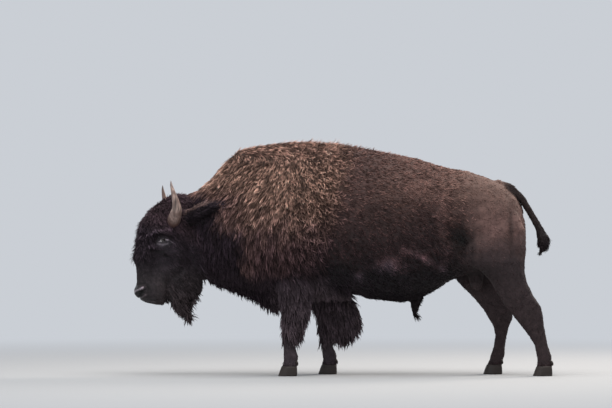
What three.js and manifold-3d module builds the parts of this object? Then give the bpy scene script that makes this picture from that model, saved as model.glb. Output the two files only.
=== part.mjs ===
// An American bison bull standing in a slow walk, life size, in millimetres.
// +Z is up, the head points to -X and the animal's left side faces -Y.
// The origin lies on the floor under the centre of the bounding box.
import * as THREE from "three";
import { mergeVertices } from "three/addons/utils/BufferGeometryUtils.js";
import Module from "manifold-3d";

const wasm = await Module();
wasm.setup();

// ---------------------------------------------------------------- driving dimensions
const GAP = 0.3; // clear space between neighbouring nodes
const WELD = 0.001; // vertices closer than this are one
const REACH = 9000; // edge of the blocks that part the body

const HEAD_PIVOT = new THREE.Vector3(-1150, 0, 1150);
const HEAD_YAW = THREE.MathUtils.degToRad(9.5); // the face turns to the animal's left
const HEAD_ROLL = THREE.MathUtils.degToRad(-2.5); // the right horn hangs a little lower

const HOOF_TOP = 72;
const TOE_LENGTH = 27; // how far the toes reach past the coronet
const CLEFT = { width: 15, depth: 88, height: 46, past: 20 };
const SIDES = { trunk: 26, head: 26, leg: 14, beard: 12, horn: 12, ear: 10, tail: 8, eye: 10 };

// Coats out to the tips. Row: x, top, height of the widest place, bottom, half width,
// crest power, keel power. A power of 2 is an ellipse, less is peaked and more is square.
const TRUNK = {
  insideHead: [-1215, 1372, 1100, 800, 140, 2.0, 2.0],
  nape: [-1095, 1436, 1095, 735, 200, 1.9, 2.0],
  neckArch: [-1000, 1520, 1090, 715, 238, 1.8, 2.0],
  neckRise: [-925, 1614, 1085, 700, 262, 1.7, 2.0],
  capeEdge: [-855, 1690, 1080, 688, 282, 1.65, 2.0],
  humpFront: [-795, 1740, 1075, 675, 300, 1.6, 2.0],
  shoulderFront: [-670, 1766, 1065, 650, 328, 1.6, 2.0],
  shoulder: [-520, 1788, 1050, 622, 350, 1.6, 2.1],
  humpTop: [-380, 1801, 1035, 598, 360, 1.6, 2.1],
  withers: [-220, 1804, 1025, 582, 365, 1.62, 2.1],
  girth: [-40, 1787, 1020, 588, 368, 1.68, 2.2],
  frontRibs: [130, 1760, 1025, 590, 372, 1.75, 2.2],
  midRibs: [300, 1727, 1035, 572, 372, 1.82, 2.2],
  backRibs: [450, 1699, 1045, 553, 366, 1.9, 2.2],
  belly: [590, 1668, 1065, 578, 350, 1.95, 2.1],
  loin: [710, 1626, 1085, 642, 330, 2.0, 2.0],
  flank: [830, 1592, 1105, 722, 308, 2.1, 2.0],
  hip: [970, 1570, 1130, 770, 284, 2.2, 2.0],
  croup: [1120, 1522, 1140, 790, 262, 2.2, 2.0],
  tailHead: [1240, 1468, 1130, 800, 232, 2.1, 2.0],
  pinBone: [1325, 1380, 1115, 820, 188, 2.0, 2.0],
  buttock: [1380, 1280, 1100, 870, 140, 2.0, 2.0],
  rumpEnd: [1408, 1190, 1080, 950, 85, 2.0, 2.0],
  rear: [1418, 1120, 1070, 1010, 35, 2.0, 2.0],
};

// Row: z, front, widest place, back, half width, face power, nape power.
const HEAD = {
  crown: [1388, -1310, -1265, -1215, 40, 2.0, 2.0],
  crownCurls: [1366, -1345, -1255, -1180, 92, 2.1, 2.0],
  topKnot: [1325, -1415, -1250, -1140, 140, 2.3, 2.0],
  foreheadTop: [1260, -1492, -1255, -1110, 168, 2.4, 2.0],
  forehead: [1180, -1555, -1270, -1090, 184, 2.5, 2.0],
  brow: [1100, -1583, -1300, -1080, 184, 2.5, 2.0],
  eyes: [1030, -1593, -1325, -1075, 172, 2.5, 2.0],
  forelockTip: [960, -1602, -1335, -1075, 158, 2.4, 2.0],
  cheek: [890, -1606, -1335, -1080, 144, 2.2, 2.0],
  noseBridge: [825, -1594, -1340, -1095, 126, 2.1, 2.0],
  nose: [765, -1586, -1360, -1120, 108, 2.1, 2.0],
  muzzleTop: [708, -1592, -1400, -1160, 94, 2.3, 2.0],
  nostrils: [655, -1594, -1440, -1215, 88, 2.5, 2.1],
  upperLip: [612, -1582, -1450, -1255, 80, 2.5, 2.1],
  lips: [580, -1560, -1445, -1290, 70, 2.4, 2.1],
  chin: [555, -1520, -1430, -1330, 56, 2.2, 2.1],
  chinTip: [540, -1455, -1415, -1375, 25, 2.0, 2.0],
};

// Rows of the beard, legs and chaps: z, front, back, y, half width, power.
const BEARD = {
  throat: [820, -1380, -1092, 0, 118, 2.0],
  jaw: [730, -1410, -1062, 0, 112, 2.0],
  jawHair: [680, -1412, -1072, 0, 104, 2.0],
  chinHair: [620, -1405, -1098, 0, 92, 2.0],
  root: [560, -1378, -1128, 0, 76, 2.0],
  middle: [505, -1318, -1142, 0, 58, 2.0],
  tips: [450, -1276, -1148, 0, 38, 2.0],
  end: [412, -1200, -1152, 0, 16, 2.0],
};
const LEFT_FORE = {
  shoulder: [1050, -560, -170, -205, 105, 2.1],
  arm: [850, -548, -160, -212, 118, 2.1],
  elbow: [710, -530, -185, -202, 112, 2.1],
  forearmTop: [600, -508, -240, -190, 94, 2.1],
  forearm: [490, -480, -285, -180, 76, 2.1],
  kneeTop: [405, -468, -312, -175, 68, 2.2],
  knee: [345, -466, -322, -172, 64, 2.3],
  kneeBase: [285, -456, -340, -170, 52, 2.2],
  cannon: [215, -452, -352, -170, 46, 2.1],
  fetlock: [145, -450, -330, -170, 55, 2.2],
  pastern: [105, -450, -338, -170, 54, 2.2],
  coronet: [HOOF_TOP + GAP, -462, -344, -170, 58, 2.3],
};
const RIGHT_FORE = {
  shoulder: [1050, -520, -120, 205, 105, 2.1],
  arm: [850, -470, -85, 212, 118, 2.1],
  elbow: [710, -400, -20, 202, 112, 2.1],
  forearmTop: [600, -305, 10, 190, 94, 2.1],
  forearm: [490, -232, -30, 180, 76, 2.1],
  kneeTop: [405, -200, -48, 175, 68, 2.2],
  knee: [345, -188, -48, 172, 64, 2.3],
  kneeBase: [285, -172, -58, 170, 52, 2.2],
  cannon: [215, -160, -62, 170, 46, 2.1],
  fetlock: [145, -152, -34, 170, 55, 2.2],
  pastern: [105, -146, -36, 170, 54, 2.2],
  coronet: [HOOF_TOP + GAP, -154, -38, 170, 58, 2.3],
};
const LEFT_HIND = {
  haunch: [1270, 960, 1330, -150, 70, 2.0],
  thighTop: [1120, 890, 1404, -170, 112, 2.1],
  thigh: [970, 868, 1412, -178, 122, 2.2],
  stifle: [870, 915, 1402, -182, 122, 2.2],
  gaskinTop: [800, 1050, 1399, -180, 112, 2.1],
  gaskin: [720, 1122, 1415, -174, 96, 2.0],
  gaskinBase: [620, 1180, 1462, -168, 80, 2.0],
  hockTop: [530, 1238, 1522, -164, 66, 2.0],
  hock: [460, 1295, 1540, -162, 60, 2.0],
  hockBase: [385, 1356, 1546, -160, 56, 2.0],
  cannonTop: [310, 1415, 1560, -160, 50, 2.0],
  cannon: [235, 1462, 1574, -160, 46, 2.0],
  fetlock: [150, 1480, 1602, -160, 54, 2.2],
  pastern: [108, 1486, 1602, -160, 54, 2.2],
  coronet: [HOOF_TOP + GAP, 1484, 1600, -160, 57, 2.3],
};
const RIGHT_HIND = {
  haunch: [1270, 930, 1310, 150, 70, 2.0],
  thighTop: [1120, 880, 1395, 170, 112, 2.1],
  thigh: [970, 850, 1400, 178, 122, 2.2],
  stifle: [860, 838, 1380, 182, 122, 2.2],
  gaskinTop: [760, 850, 1350, 180, 114, 2.1],
  gaskin: [670, 935, 1328, 174, 98, 2.0],
  gaskinBase: [575, 1028, 1322, 168, 80, 2.0],
  hockTop: [495, 1094, 1334, 164, 66, 2.0],
  hock: [430, 1132, 1330, 162, 60, 2.0],
  hockBase: [370, 1170, 1302, 160, 54, 2.0],
  cannonTop: [300, 1184, 1284, 160, 48, 2.0],
  cannon: [215, 1172, 1270, 160, 46, 2.0],
  fetlock: [145, 1148, 1266, 160, 54, 2.2],
  pastern: [105, 1138, 1252, 160, 54, 2.2],
  coronet: [HOOF_TOP + GAP, 1124, 1240, 160, 57, 2.3],
};
const LEFT_CHAPS = {
  top: [640, -440, -205, -186, 82, 2.0],
  upper: [560, -430, -212, -182, 76, 2.0],
  middle: [460, -420, -238, -178, 70, 2.0],
  lower: [370, -410, -272, -174, 58, 2.0],
  tips: [300, -400, -306, -172, 40, 2.0],
  end: [268, -380, -330, -171, 16, 2.0],
};
const RIGHT_CHAPS = {
  top: [640, -230, 90, 186, 84, 2.0],
  upper: [560, -190, 128, 182, 80, 2.0],
  middle: [460, -160, 148, 178, 74, 2.0],
  lower: [380, -145, 150, 174, 64, 2.0],
  tips: [300, -125, 96, 172, 46, 2.0],
  end: [242, -75, 36, 171, 20, 2.0],
};

// Hair under the neck. Row: x, top, height of the widest place, bottom, half width, powers.
const FRINGE = {
  throat: [-1040, 790, 770, 735, 50, 2.0, 1.6],
  neck: [-980, 850, 800, 690, 120, 2.0, 1.6],
  middle: [-830, 850, 790, 636, 140, 2.0, 1.5],
  chest: [-680, 830, 760, 580, 100, 2.0, 1.5],
  brisket: [-580, 810, 730, 520, 72, 2.0, 1.5],
  brisketTips: [-520, 790, 710, 492, 64, 2.0, 1.5],
  back: [-440, 760, 690, 545, 50, 2.0, 1.6],
};

// Swept pieces. Row: x, y, z, half width across, half thickness.
const TAIL = {
  insideRump: [1120, 0, 1455, 34, 34],
  root: [1200, 0, 1478, 33, 33],
  arch: [1298, -2, 1434, 27, 28],
  bend: [1384, -4, 1354, 22, 23],
  fall: [1455, -6, 1236, 20, 21],
  tasselTop: [1512, -8, 1135, 22, 23],
  tassel: [1545, -10, 1050, 36, 40],
  tasselLow: [1550, -12, 990, 34, 38],
  tasselTip: [1524, -12, 935, 8, 8],
};
const LEFT_HORN = {
  core: [-1310, -110, 1172, 46, 46],
  base: [-1312, -178, 1172, 47, 47],
  outward: [-1312, -238, 1196, 45, 45],
  bend: [-1303, -282, 1252, 39, 39],
  rise: [-1313, -300, 1322, 29, 29],
  upper: [-1330, -296, 1390, 20, 20],
  nearTip: [-1344, -280, 1444, 11, 11],
  tip: [-1348, -270, 1474, 3, 3],
};
const LEFT_EAR = {
  insideHead: [-1232, -130, 1206, 26, 18],
  root: [-1200, -172, 1222, 36, 20],
  lower: [-1150, -218, 1244, 46, 18],
  middle: [-1098, -256, 1266, 46, 15],
  upper: [-1046, -284, 1288, 32, 12],
  tip: [-1006, -298, 1304, 7, 5],
};
const SHEATH = {
  insideBelly: [660, 500, 660, 0, 60, 2.0],
  root: [590, 506, 630, 0, 46, 2.0],
  middle: [545, 520, 606, 0, 34, 2.0],
  mouth: [495, 530, 592, 0, 24, 2.0],
  hairTip: [434, 545, 566, 0, 7, 2.0],
};
const SCROTUM = {
  insideGroin: [850, 950, 1110, 0, 52, 2.0],
  neck: [770, 962, 1098, 0, 56, 2.0],
  middle: [715, 972, 1092, 0, 60, 2.0],
  lower: [672, 990, 1080, 0, 48, 2.0],
  end: [648, 1015, 1060, 0, 24, 2.0],
};

const EYE_RADIUS = 22;
const EYE_CENTRE = new THREE.Vector3(-1396, -153, 1026);

// Muscle and bone under the hide, mirrored on both sides: place, reach, height.
const TRUNK_FORMS = [
  { name: "shoulder blade", at: [-430, 300, 1290], reach: 230, height: 22 },
  { name: "upper arm", at: [-480, 330, 960], reach: 190, height: 26 },
  { name: "last ribs", at: [380, 350, 900], reach: 260, height: 12 },
  { name: "flank hollow", at: [820, 300, 1090], reach: 130, height: -34 },
  { name: "hip bone", at: [930, 235, 1400], reach: 95, height: 24 },
  { name: "loin edge", at: [640, 240, 1480], reach: 160, height: 10 },
  { name: "haunch", at: [1150, 255, 1130], reach: 190, height: 26 },
  { name: "pin bone", at: [1360, 95, 1300], reach: 70, height: 14 },
];
const HEAD_FORMS = [
  { name: "brow ridge", at: [-1440, 168, 1080], reach: 48, height: 13 },
  { name: "eye hollow", at: [-1392, 172, 1022], reach: 40, height: -13 },
  { name: "cheek", at: [-1310, 140, 880], reach: 100, height: 10 },
  { name: "nostril wing", at: [-1570, 66, 655], reach: 34, height: 9 },
  { name: "muzzle side", at: [-1480, 92, 720], reach: 60, height: -7 },
  { name: "upper lip", at: [-1530, 74, 600], reach: 36, height: 6 },
];

const COLOURS = {
  cape: 0x644c44,
  rearCoat: 0x4e3a36,
  rump: 0x60483f,
  darkCoat: 0x2b2427,
  muzzle: 0x1d1a1c,
  horn: 0x6f625d,
  hoof: 0x2a2523,
  eye: 0x120c0a,
};

// ---------------------------------------------------------------- lofts
const SIDE = new THREE.Vector3(0, 1, 0);

function acrossX([x, top, widest, bottom, half, crest, keel]) {
  return {
    centre: new THREE.Vector3(x, 0, widest),
    axis: new THREE.Vector3(1, 0, 0),
    half,
    plus: top - widest,
    minus: widest - bottom,
    plusPower: crest,
    minusPower: keel,
  };
}

function acrossZ([z, front, back, y, half, power]) {
  return {
    centre: new THREE.Vector3((front + back) / 2, y, z),
    axis: new THREE.Vector3(0, 0, -1),
    half,
    plus: (back - front) / 2,
    minus: (back - front) / 2,
    plusPower: power,
    minusPower: power,
  };
}

function acrossHead([z, front, widest, back, half, face, nape]) {
  return {
    centre: new THREE.Vector3(widest, 0, z),
    axis: new THREE.Vector3(0, 0, -1),
    half,
    plus: back - widest,
    minus: widest - front,
    plusPower: nape,
    minusPower: face,
  };
}

function swept([x, y, z, half, thick], before, after) {
  const axis = new THREE.Vector3(after[0] - before[0], after[1] - before[1], after[2] - before[2]);
  return {
    centre: new THREE.Vector3(x, y, z),
    axis: axis.normalize(),
    half,
    plus: thick,
    minus: thick,
    plusPower: 2,
    minusPower: 2,
  };
}

// A signed power, so that one formula draws ellipses, peaks and squares.
const squared = (value, power) => Math.sign(value) * Math.abs(value) ** (2 / power);

function ringPoint(ring, turn, swell, across) {
  const cosine = -Math.cos(turn);
  const sine = Math.sin(turn);
  const up = new THREE.Vector3().crossVectors(ring.axis, across).normalize();
  const side = new THREE.Vector3().crossVectors(up, ring.axis);
  const power = sine > 0 ? ring.plusPower : ring.minusPower;
  const depth = (sine > 0 ? ring.plus : ring.minus) + swell;
  return ring.centre
    .clone()
    .addScaledVector(side, squared(cosine, power) * (ring.half + swell))
    .addScaledVector(up, squared(sine, power) * depth);
}

function pushForms(point, centre, forms) {
  const outward = point.clone().sub(centre).normalize();
  let push = 0;
  for (const { at, reach, height } of forms) {
    const far = Math.hypot(point.x - at[0], Math.abs(point.y) - at[1], point.z - at[2]);
    push += height * Math.exp(-((far / reach) ** 2));
  }
  point.addScaledVector(outward, push);
}

// One closed body through a table of rows. A sphere's rings are laid on the rows, and its
// poles close the two ends.
function loft(table, ringAt, sides, options = {}) {
  const { swell = 0, forms = [], across = SIDE } = options;
  const rows = Object.values(table);
  const spans = rows.length - 1;
  const steps = rows.map((row, index) => index);
  const track = new THREE.CubicInterpolant(steps, rows.flat(), rows[0].length);
  const rowAt = (along) => Array.from(track.evaluate(THREE.MathUtils.clamp(along, 0, spans)));
  const poleIndex = spans + 2;
  const skin = new THREE.SphereGeometry(1, sides, poleIndex);
  const { position, uv } = skin.attributes;
  for (let i = 0; i < position.count; i += 1) {
    const ringIndex = Math.round((1 - uv.getY(i)) * poleIndex);
    const along = THREE.MathUtils.clamp(ringIndex - 1, 0, spans);
    const ring = ringAt(rowAt(along), rowAt(along - 0.05), rowAt(along + 0.05));
    const endShift = Number(along === spans) - Number(along === 0);
    ring.centre.addScaledVector(ring.axis, endShift * swell);
    let point = ring.centre.clone();
    if (ringIndex > 0 && ringIndex < poleIndex) {
      point = ringPoint(ring, uv.getX(i) * Math.PI * 2, swell, across);
      pushForms(point, ring.centre, forms);
    }
    position.setXYZ(i, point.x, point.y, point.z);
  }
  return skin;
}

const mirrorRow = ([x, y, ...rest]) => [x, -y, ...rest];

function mirrored(table) {
  return Object.fromEntries(Object.entries(table).map(([name, row]) => [name, mirrorRow(row)]));
}

// ---------------------------------------------------------------- solids
function welded(geometry) {
  const bare = geometry.clone();
  bare.deleteAttribute("normal");
  bare.deleteAttribute("uv");
  return mergeVertices(bare, WELD);
}

function solid(geometry) {
  const shape = welded(geometry);
  const mesh = new wasm.Mesh({
    numProp: 3,
    vertProperties: new Float32Array(shape.attributes.position.array),
    triVerts: new Uint32Array(shape.index.array),
  });
  return new wasm.Manifold(mesh);
}

function geometryOf(body) {
  const { vertProperties, triVerts } = body.getMesh();
  const shape = new THREE.BufferGeometry();
  shape.setAttribute("position", new THREE.BufferAttribute(vertProperties, 3));
  shape.setIndex(new THREE.BufferAttribute(triVerts, 1));
  return shape;
}

const joined = (bodies) => bodies.reduce((whole, body) => whole.add(body));

// All the space behind a plane, as one large block.
function spaceBehind({ point, normal }, slack) {
  const outward = new THREE.Vector3(...normal).normalize();
  const block = new THREE.BoxGeometry(REACH, REACH, REACH);
  const turn = new THREE.Quaternion().setFromUnitVectors(new THREE.Vector3(0, 0, 1), outward);
  const place = new THREE.Vector3(...point).addScaledVector(outward, slack - REACH / 2);
  block.applyMatrix4(new THREE.Matrix4().compose(place, turn, new THREE.Vector3(1, 1, 1)));
  return solid(block);
}

// Parts a body by a few planes: what lies behind all of them, and the rest.
function part(body, planes) {
  const region = (slack) => {
    const blocks = planes.map((plane) => spaceBehind(plane, slack));
    return blocks.reduce((space, block) => space.intersect(block));
  };
  return [body.intersect(region(0)), body.subtract(region(GAP))];
}

const headPose = new THREE.Matrix4()
  .makeTranslation(HEAD_PIVOT.x, HEAD_PIVOT.y, HEAD_PIVOT.z)
  .multiply(new THREE.Matrix4().makeRotationZ(HEAD_YAW))
  .multiply(new THREE.Matrix4().makeRotationX(HEAD_ROLL))
  .multiply(new THREE.Matrix4().makeTranslation(-HEAD_PIVOT.x, -HEAD_PIVOT.y, -HEAD_PIVOT.z));

const onHead = (geometry) => solid(geometry.applyMatrix4(headPose));

// ---------------------------------------------------------------- the animal's pieces
function fleshOfBody() {
  return joined([
    solid(loft(TRUNK, acrossX, SIDES.trunk, { forms: TRUNK_FORMS })),
    solid(loft(FRINGE, acrossX, SIDES.beard)),
    solid(loft(SHEATH, acrossZ, SIDES.ear)),
    solid(loft(SCROTUM, acrossZ, SIDES.ear)),
    ...[LEFT_FORE, RIGHT_FORE, LEFT_HIND, RIGHT_HIND].map((leg) =>
      solid(loft(leg, acrossZ, SIDES.leg)),
    ),
    solid(loft(LEFT_CHAPS, acrossZ, SIDES.ear)),
    solid(loft(RIGHT_CHAPS, acrossZ, SIDES.ear)),
  ]);
}

function fleshOfHead() {
  return joined([
    onHead(loft(HEAD, acrossHead, SIDES.head, { forms: HEAD_FORMS })),
    onHead(loft(BEARD, acrossZ, SIDES.beard)),
  ]);
}

const HORN_EDGE = new THREE.Vector3(1, 0, 0);
const EAR_EDGE = new THREE.Vector3(0.2, 0.2, 1);

function pairOnHead(table, sides, across) {
  const build = (rows, swell) => onHead(loft(rows, swept, sides, { swell, across }));
  const right = mirrored(table);
  return {
    left: build(table, 0),
    right: build(right, 0),
    pockets: [build(table, GAP), build(right, GAP)],
  };
}

function eyeOnHead(side, swell) {
  const eye = new THREE.SphereGeometry(EYE_RADIUS + swell, SIDES.eye, SIDES.eye - 3);
  eye.translate(EYE_CENTRE.x, EYE_CENTRE.y * side, EYE_CENTRE.z);
  return onHead(eye);
}

// A wedge that opens at the toes and runs past the front and the sole.
function cleft(front, y) {
  const outline = new THREE.Shape();
  outline.moveTo(-CLEFT.past, -CLEFT.width / 2);
  outline.lineTo(CLEFT.depth, 0);
  outline.lineTo(-CLEFT.past, CLEFT.width / 2);
  outline.closePath();
  const wedge = new THREE.ExtrudeGeometry(outline, { depth: CLEFT.height + CLEFT.past, bevelEnabled: false });
  wedge.translate(front, y, -CLEFT.past);
  return solid(wedge);
}

// A hoof spreads from the coronet to a flat sole, and its cleft parts the two toes.
function hoof(leg) {
  const [, front, back, y, half] = leg.coronet;
  const rows = {
    top: [HOOF_TOP, front - 2, back + 2, y, half + 1, 2.3],
    wall: [HOOF_TOP * 0.55, front - 14, back + 3, y, half + 4, 2.3],
    edge: [8, front - TOE_LENGTH, back + 2, y, half + 6, 2.3],
    sole: [0, front - TOE_LENGTH + 2, back - 2, y, half + 4, 2.3],
  };
  const body = solid(loft(rows, acrossZ, SIDES.leg));
  return body.subtract(cleft(front - TOE_LENGTH, y));
}

// ---------------------------------------------------------------- parting into nodes
const LEG_PLANES = {
  left_foreleg: [
    { point: [0, -70, 600], normal: [0, 0.66, 0.75] },
    { point: [0, -76, 0], normal: [0, 1, 0] },
    { point: [-635, 0, 0], normal: [-1, 0, 0] },
    { point: [-150, 0, 700], normal: [1, 0, -0.1] },
  ],
  right_foreleg: [
    { point: [0, 70, 600], normal: [0, -0.66, 0.75] },
    { point: [0, 76, 0], normal: [0, -1, 0] },
    { point: [-560, 0, 0], normal: [-1, 0, 0] },
    { point: [152, 0, 0], normal: [1, 0, 0] },
  ],
  left_hindleg: [
    { point: [0, -60, 770], normal: [0, 0.6, 0.8] },
    { point: [0, -62, 0], normal: [0, 1, 0] },
    { point: [842, 0, 740], normal: [-1, 0, 0.25] },
  ],
  right_hindleg: [
    { point: [0, 60, 770], normal: [0, -0.6, 0.8] },
    { point: [0, 62, 0], normal: [0, -1, 0] },
    { point: [830, 0, 740], normal: [-1, 0, 0.25] },
  ],
};
const KNEE_HEIGHT = { left_foreleg: 392, right_foreleg: 392, left_hindleg: 512, right_hindleg: 478 };

const pieces = {};

function addPiece(name, body, colour, roughness = 0.9) {
  pieces[name] = { body, colour, roughness };
}

// Named planes that part the head and the body. Each normal points to the rest of the animal.
const NECK = { point: [-1128, 0, 1000], normal: [1, 0, 0.2] };
const SHOULDER = { point: [-715, 0, 1100], normal: [1, 0, 0.1] };
const GIRTH = { point: [-20, 0, 1100], normal: [1, 0, 0] };
const LOIN = { point: [742, 0, 1100], normal: [1, 0, -0.1] };
const FRINGE_TOP = { point: [-800, 0, 668], normal: [0.25, 0, 1] };
const FRINGE_BACK = { point: [-445, 0, 600], normal: [1, 0, 0] };
const SHEATH_TOP = { point: [545, 0, 552], normal: [0, 0, 1] };
const SHEATH_FRONT = { point: [440, 0, 552], normal: [-1, 0, 0] };
const SCROTUM_PLANES = [
  { point: [0, 0, 738], normal: [0, 0, 1] },
  { point: [945, 0, 0], normal: [-1, 0, 0] },
  { point: [1115, 0, 0], normal: [1, 0, 0] },
  { point: [0, -66, 0], normal: [0, -1, 0] },
  { point: [0, 66, 0], normal: [0, 1, 0] },
];
const JAW_LINE = { point: [-1300, 0, 640], normal: [-0.52, 0, 1] };
const BEARD_FRONT = { point: [-1420, 0, 560], normal: [-1, 0, -0.2] };
const MUZZLE_TOP = { point: [-1500, 0, 800], normal: [0.25, 0, 1] };
const MOUTH = { point: [-1480, 0, 592], normal: [0.3, 0, 1] };
const TAIL_ARCH = { point: [1290, 0, 1430], normal: [1, 0, -0.4] };
const TASSEL = { point: [1500, 0, 1160], normal: [0.35, 0, -1] };

function addBody(carcass) {
  let [scrotum, rest] = part(carcass, SCROTUM_PLANES);
  addPiece("scrotum", scrotum, COLOURS.darkCoat);
  for (const [name, planes] of Object.entries(LEG_PLANES)) {
    const [leg, others] = part(rest, planes);
    const [lower, upper] = part(leg, [{ point: [0, 0, KNEE_HEIGHT[name]], normal: [0, 0, 1] }]);
    addPiece(`${name}_upper`, upper, COLOURS.darkCoat);
    addPiece(`${name}_lower`, lower, COLOURS.darkCoat);
    rest = others;
  }
  const [sheath, trunk] = part(rest, [SHEATH_TOP, SHEATH_FRONT]);
  const [fringe, bare] = part(trunk, [FRINGE_TOP, FRINGE_BACK]);
  const [neck, torso] = part(bare, [SHOULDER]);
  const [hump, hindBody] = part(torso, [GIRTH]);
  const [barrel, rump] = part(hindBody, [LOIN]);
  addPiece("sheath", sheath, COLOURS.darkCoat);
  addPiece("neck_fringe", fringe, COLOURS.darkCoat);
  addPiece("neck", neck, COLOURS.cape);
  addPiece("hump", hump, COLOURS.cape);
  addPiece("barrel", barrel, COLOURS.rearCoat);
  addPiece("rump", rump, COLOURS.rump);
}

function addHead(head) {
  const [beard, skull] = part(head, [JAW_LINE, BEARD_FRONT]);
  const [muzzle, cranium] = part(skull, [MUZZLE_TOP]);
  const [jaw, nose] = part(muzzle, [MOUTH]);
  addPiece("head", cranium, COLOURS.darkCoat);
  addPiece("muzzle", nose, COLOURS.muzzle, 0.6);
  addPiece("jaw", jaw, COLOURS.darkCoat);
  addPiece("beard", beard, COLOURS.darkCoat);
}

function addHeadgear(horns, ears) {
  for (const side of ["left", "right"]) {
    addPiece(`horn_${side}`, horns[side], COLOURS.horn, 0.55);
    addPiece(`ear_${side}`, ears[side], COLOURS.darkCoat);
  }
  addPiece("eye_left", eyeOnHead(1, 0), COLOURS.eye, 0.15);
  addPiece("eye_right", eyeOnHead(-1, 0), COLOURS.eye, 0.15);
}

const tailWith = (swell) => solid(loft(TAIL, swept, SIDES.tail, { swell }));

function addTail() {
  const tail = tailWith(0);
  const [base, lower] = part(tail, [TAIL_ARCH]);
  const [middle, tassel] = part(lower, [TASSEL]);
  addPiece("tail_base", base, COLOURS.rump);
  addPiece("tail_middle", middle, COLOURS.darkCoat);
  addPiece("tail_tassel", tassel, COLOURS.darkCoat);
}

function addHooves() {
  const legs = { left_fore: LEFT_FORE, right_fore: RIGHT_FORE, left_hind: LEFT_HIND, right_hind: RIGHT_HIND };
  for (const [name, leg] of Object.entries(legs)) {
    addPiece(`hoof_${name}`, hoof(leg), COLOURS.hoof, 0.5);
  }
}

const horns = pairOnHead(LEFT_HORN, SIDES.horn, HORN_EDGE);
const ears = pairOnHead(LEFT_EAR, SIDES.ear, EAR_EDGE);
const pockets = [...horns.pockets, ...ears.pockets, eyeOnHead(1, GAP), eyeOnHead(-1, GAP), tailWith(GAP)];
const flesh = fleshOfBody().add(fleshOfHead()).subtract(joined(pockets));
const [headEnd, carcass] = part(flesh, [NECK]);
addHead(headEnd);
addHeadgear(horns, ears);
addBody(carcass);
addTail();
addHooves();

const bison = new THREE.Group();
for (const [name, { body, colour, roughness }] of Object.entries(pieces)) {
  const finish = new THREE.MeshStandardMaterial({ color: colour, roughness, metalness: 0 });
  const mesh = new THREE.Mesh(geometryOf(body), finish);
  mesh.name = name;
  bison.add(mesh);
}
const middle = new THREE.Box3().setFromObject(bison).getCenter(new THREE.Vector3());
bison.position.set(-middle.x, -middle.y, 0);

export default bison;
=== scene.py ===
import math

import bmesh
import bpy
import numpy as np
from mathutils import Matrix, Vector
from mathutils.kdtree import KDTree


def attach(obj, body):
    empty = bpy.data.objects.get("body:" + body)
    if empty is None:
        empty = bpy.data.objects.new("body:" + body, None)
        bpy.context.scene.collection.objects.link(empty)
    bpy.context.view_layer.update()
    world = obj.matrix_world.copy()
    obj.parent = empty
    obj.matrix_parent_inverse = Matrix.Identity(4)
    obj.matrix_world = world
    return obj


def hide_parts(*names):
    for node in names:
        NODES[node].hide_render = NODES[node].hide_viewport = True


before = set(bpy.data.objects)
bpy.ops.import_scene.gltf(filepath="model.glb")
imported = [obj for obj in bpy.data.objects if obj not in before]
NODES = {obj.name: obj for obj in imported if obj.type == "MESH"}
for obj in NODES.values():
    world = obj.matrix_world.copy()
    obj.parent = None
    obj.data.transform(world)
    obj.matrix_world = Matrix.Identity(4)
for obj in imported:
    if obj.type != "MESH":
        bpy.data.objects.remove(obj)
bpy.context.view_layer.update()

# An american bison bull in a slow walk. Metres; +Z is up, the head points to -X and the
# animal's left side faces -Y. One skin lies under the coat, and the coat is solid tufts.

RANDOM = np.random.default_rng(1807)
HORN_NODES = ["horn_left", "horn_right"]
EYE_NODES = ["eye_left", "eye_right"]
HOOF_NODES = ["hoof_left_fore", "hoof_right_fore", "hoof_left_hind", "hoof_right_hind"]
HARD_NODES = HORN_NODES + EYE_NODES + HOOF_NODES
FLESH_NODES = [name for name in NODES if name not in HARD_NODES]

VOXEL = 0.010
SEAM_OVERLAP = 0.0012
DARKEST = 0.002


# ------------------------------------------------------------------ small helpers
def ramp(low, high, value):
    """0 below low, 1 above high, smooth between; low may be the larger."""
    t = np.clip((value - low) / (high - low), 0.0, 1.0)
    return t * t * (3.0 - 2.0 * t)


def unit(vectors):
    return vectors / np.maximum(np.linalg.norm(vectors, axis=-1, keepdims=True), 1e-9)


def mirrored(points):
    """The same points all on the left side."""
    place = points.copy()
    place[:, 1] = -np.abs(place[:, 1])
    return place


def blob(points, centre, radii, mirror=False):
    """A soft ball of influence, 1 at its centre; with mirror, one on each side."""
    place = mirrored(points) if mirror else points
    far = (place - np.array(centre)) / np.array(radii)
    return np.exp(-(far**2).sum(axis=1))


def points_of(mesh):
    flat = np.empty(len(mesh.vertices) * 3)
    mesh.vertices.foreach_get("co", flat)
    return flat.reshape(-1, 3)


def set_points(mesh, points):
    mesh.vertices.foreach_set("co", points.astype(np.float32).ravel())
    mesh.update()


def normals_of(mesh):
    flat = np.empty(len(mesh.vertices) * 3, np.float32)
    mesh.vertex_normals.foreach_get("vector", flat)
    return flat.reshape(-1, 3).astype(float)


def edges_of(mesh):
    flat = np.empty(len(mesh.edges) * 2, np.int64)
    mesh.edges.foreach_get("vertices", flat)
    return flat.reshape(-1, 2)


def relax(values, edges, rounds, share, keep_size=False):
    """Moves each row of values towards the mean of its neighbours'. With keep_size, every
    second round moves back out, so that thin parts don't shrink."""
    ends = np.concatenate([edges[:, 0], edges[:, 1]])
    others = np.concatenate([edges[:, 1], edges[:, 0]])
    count = np.maximum(np.bincount(ends, minlength=len(values)), 1)
    share = np.broadcast_to(np.asarray(share, float).reshape(-1, 1), (len(values), 1))
    for turn in range(rounds):
        columns = [
            np.bincount(ends, weights=values[others, k], minlength=len(values)) / count
            for k in range(values.shape[1])
        ]
        step = -1.04 if keep_size and turn % 2 else 1.0
        values = values + step * share * (np.stack(columns, axis=1) - values)
    return values


def mixed(base, other, share):
    return base + (other - base) * share[:, None]


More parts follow.
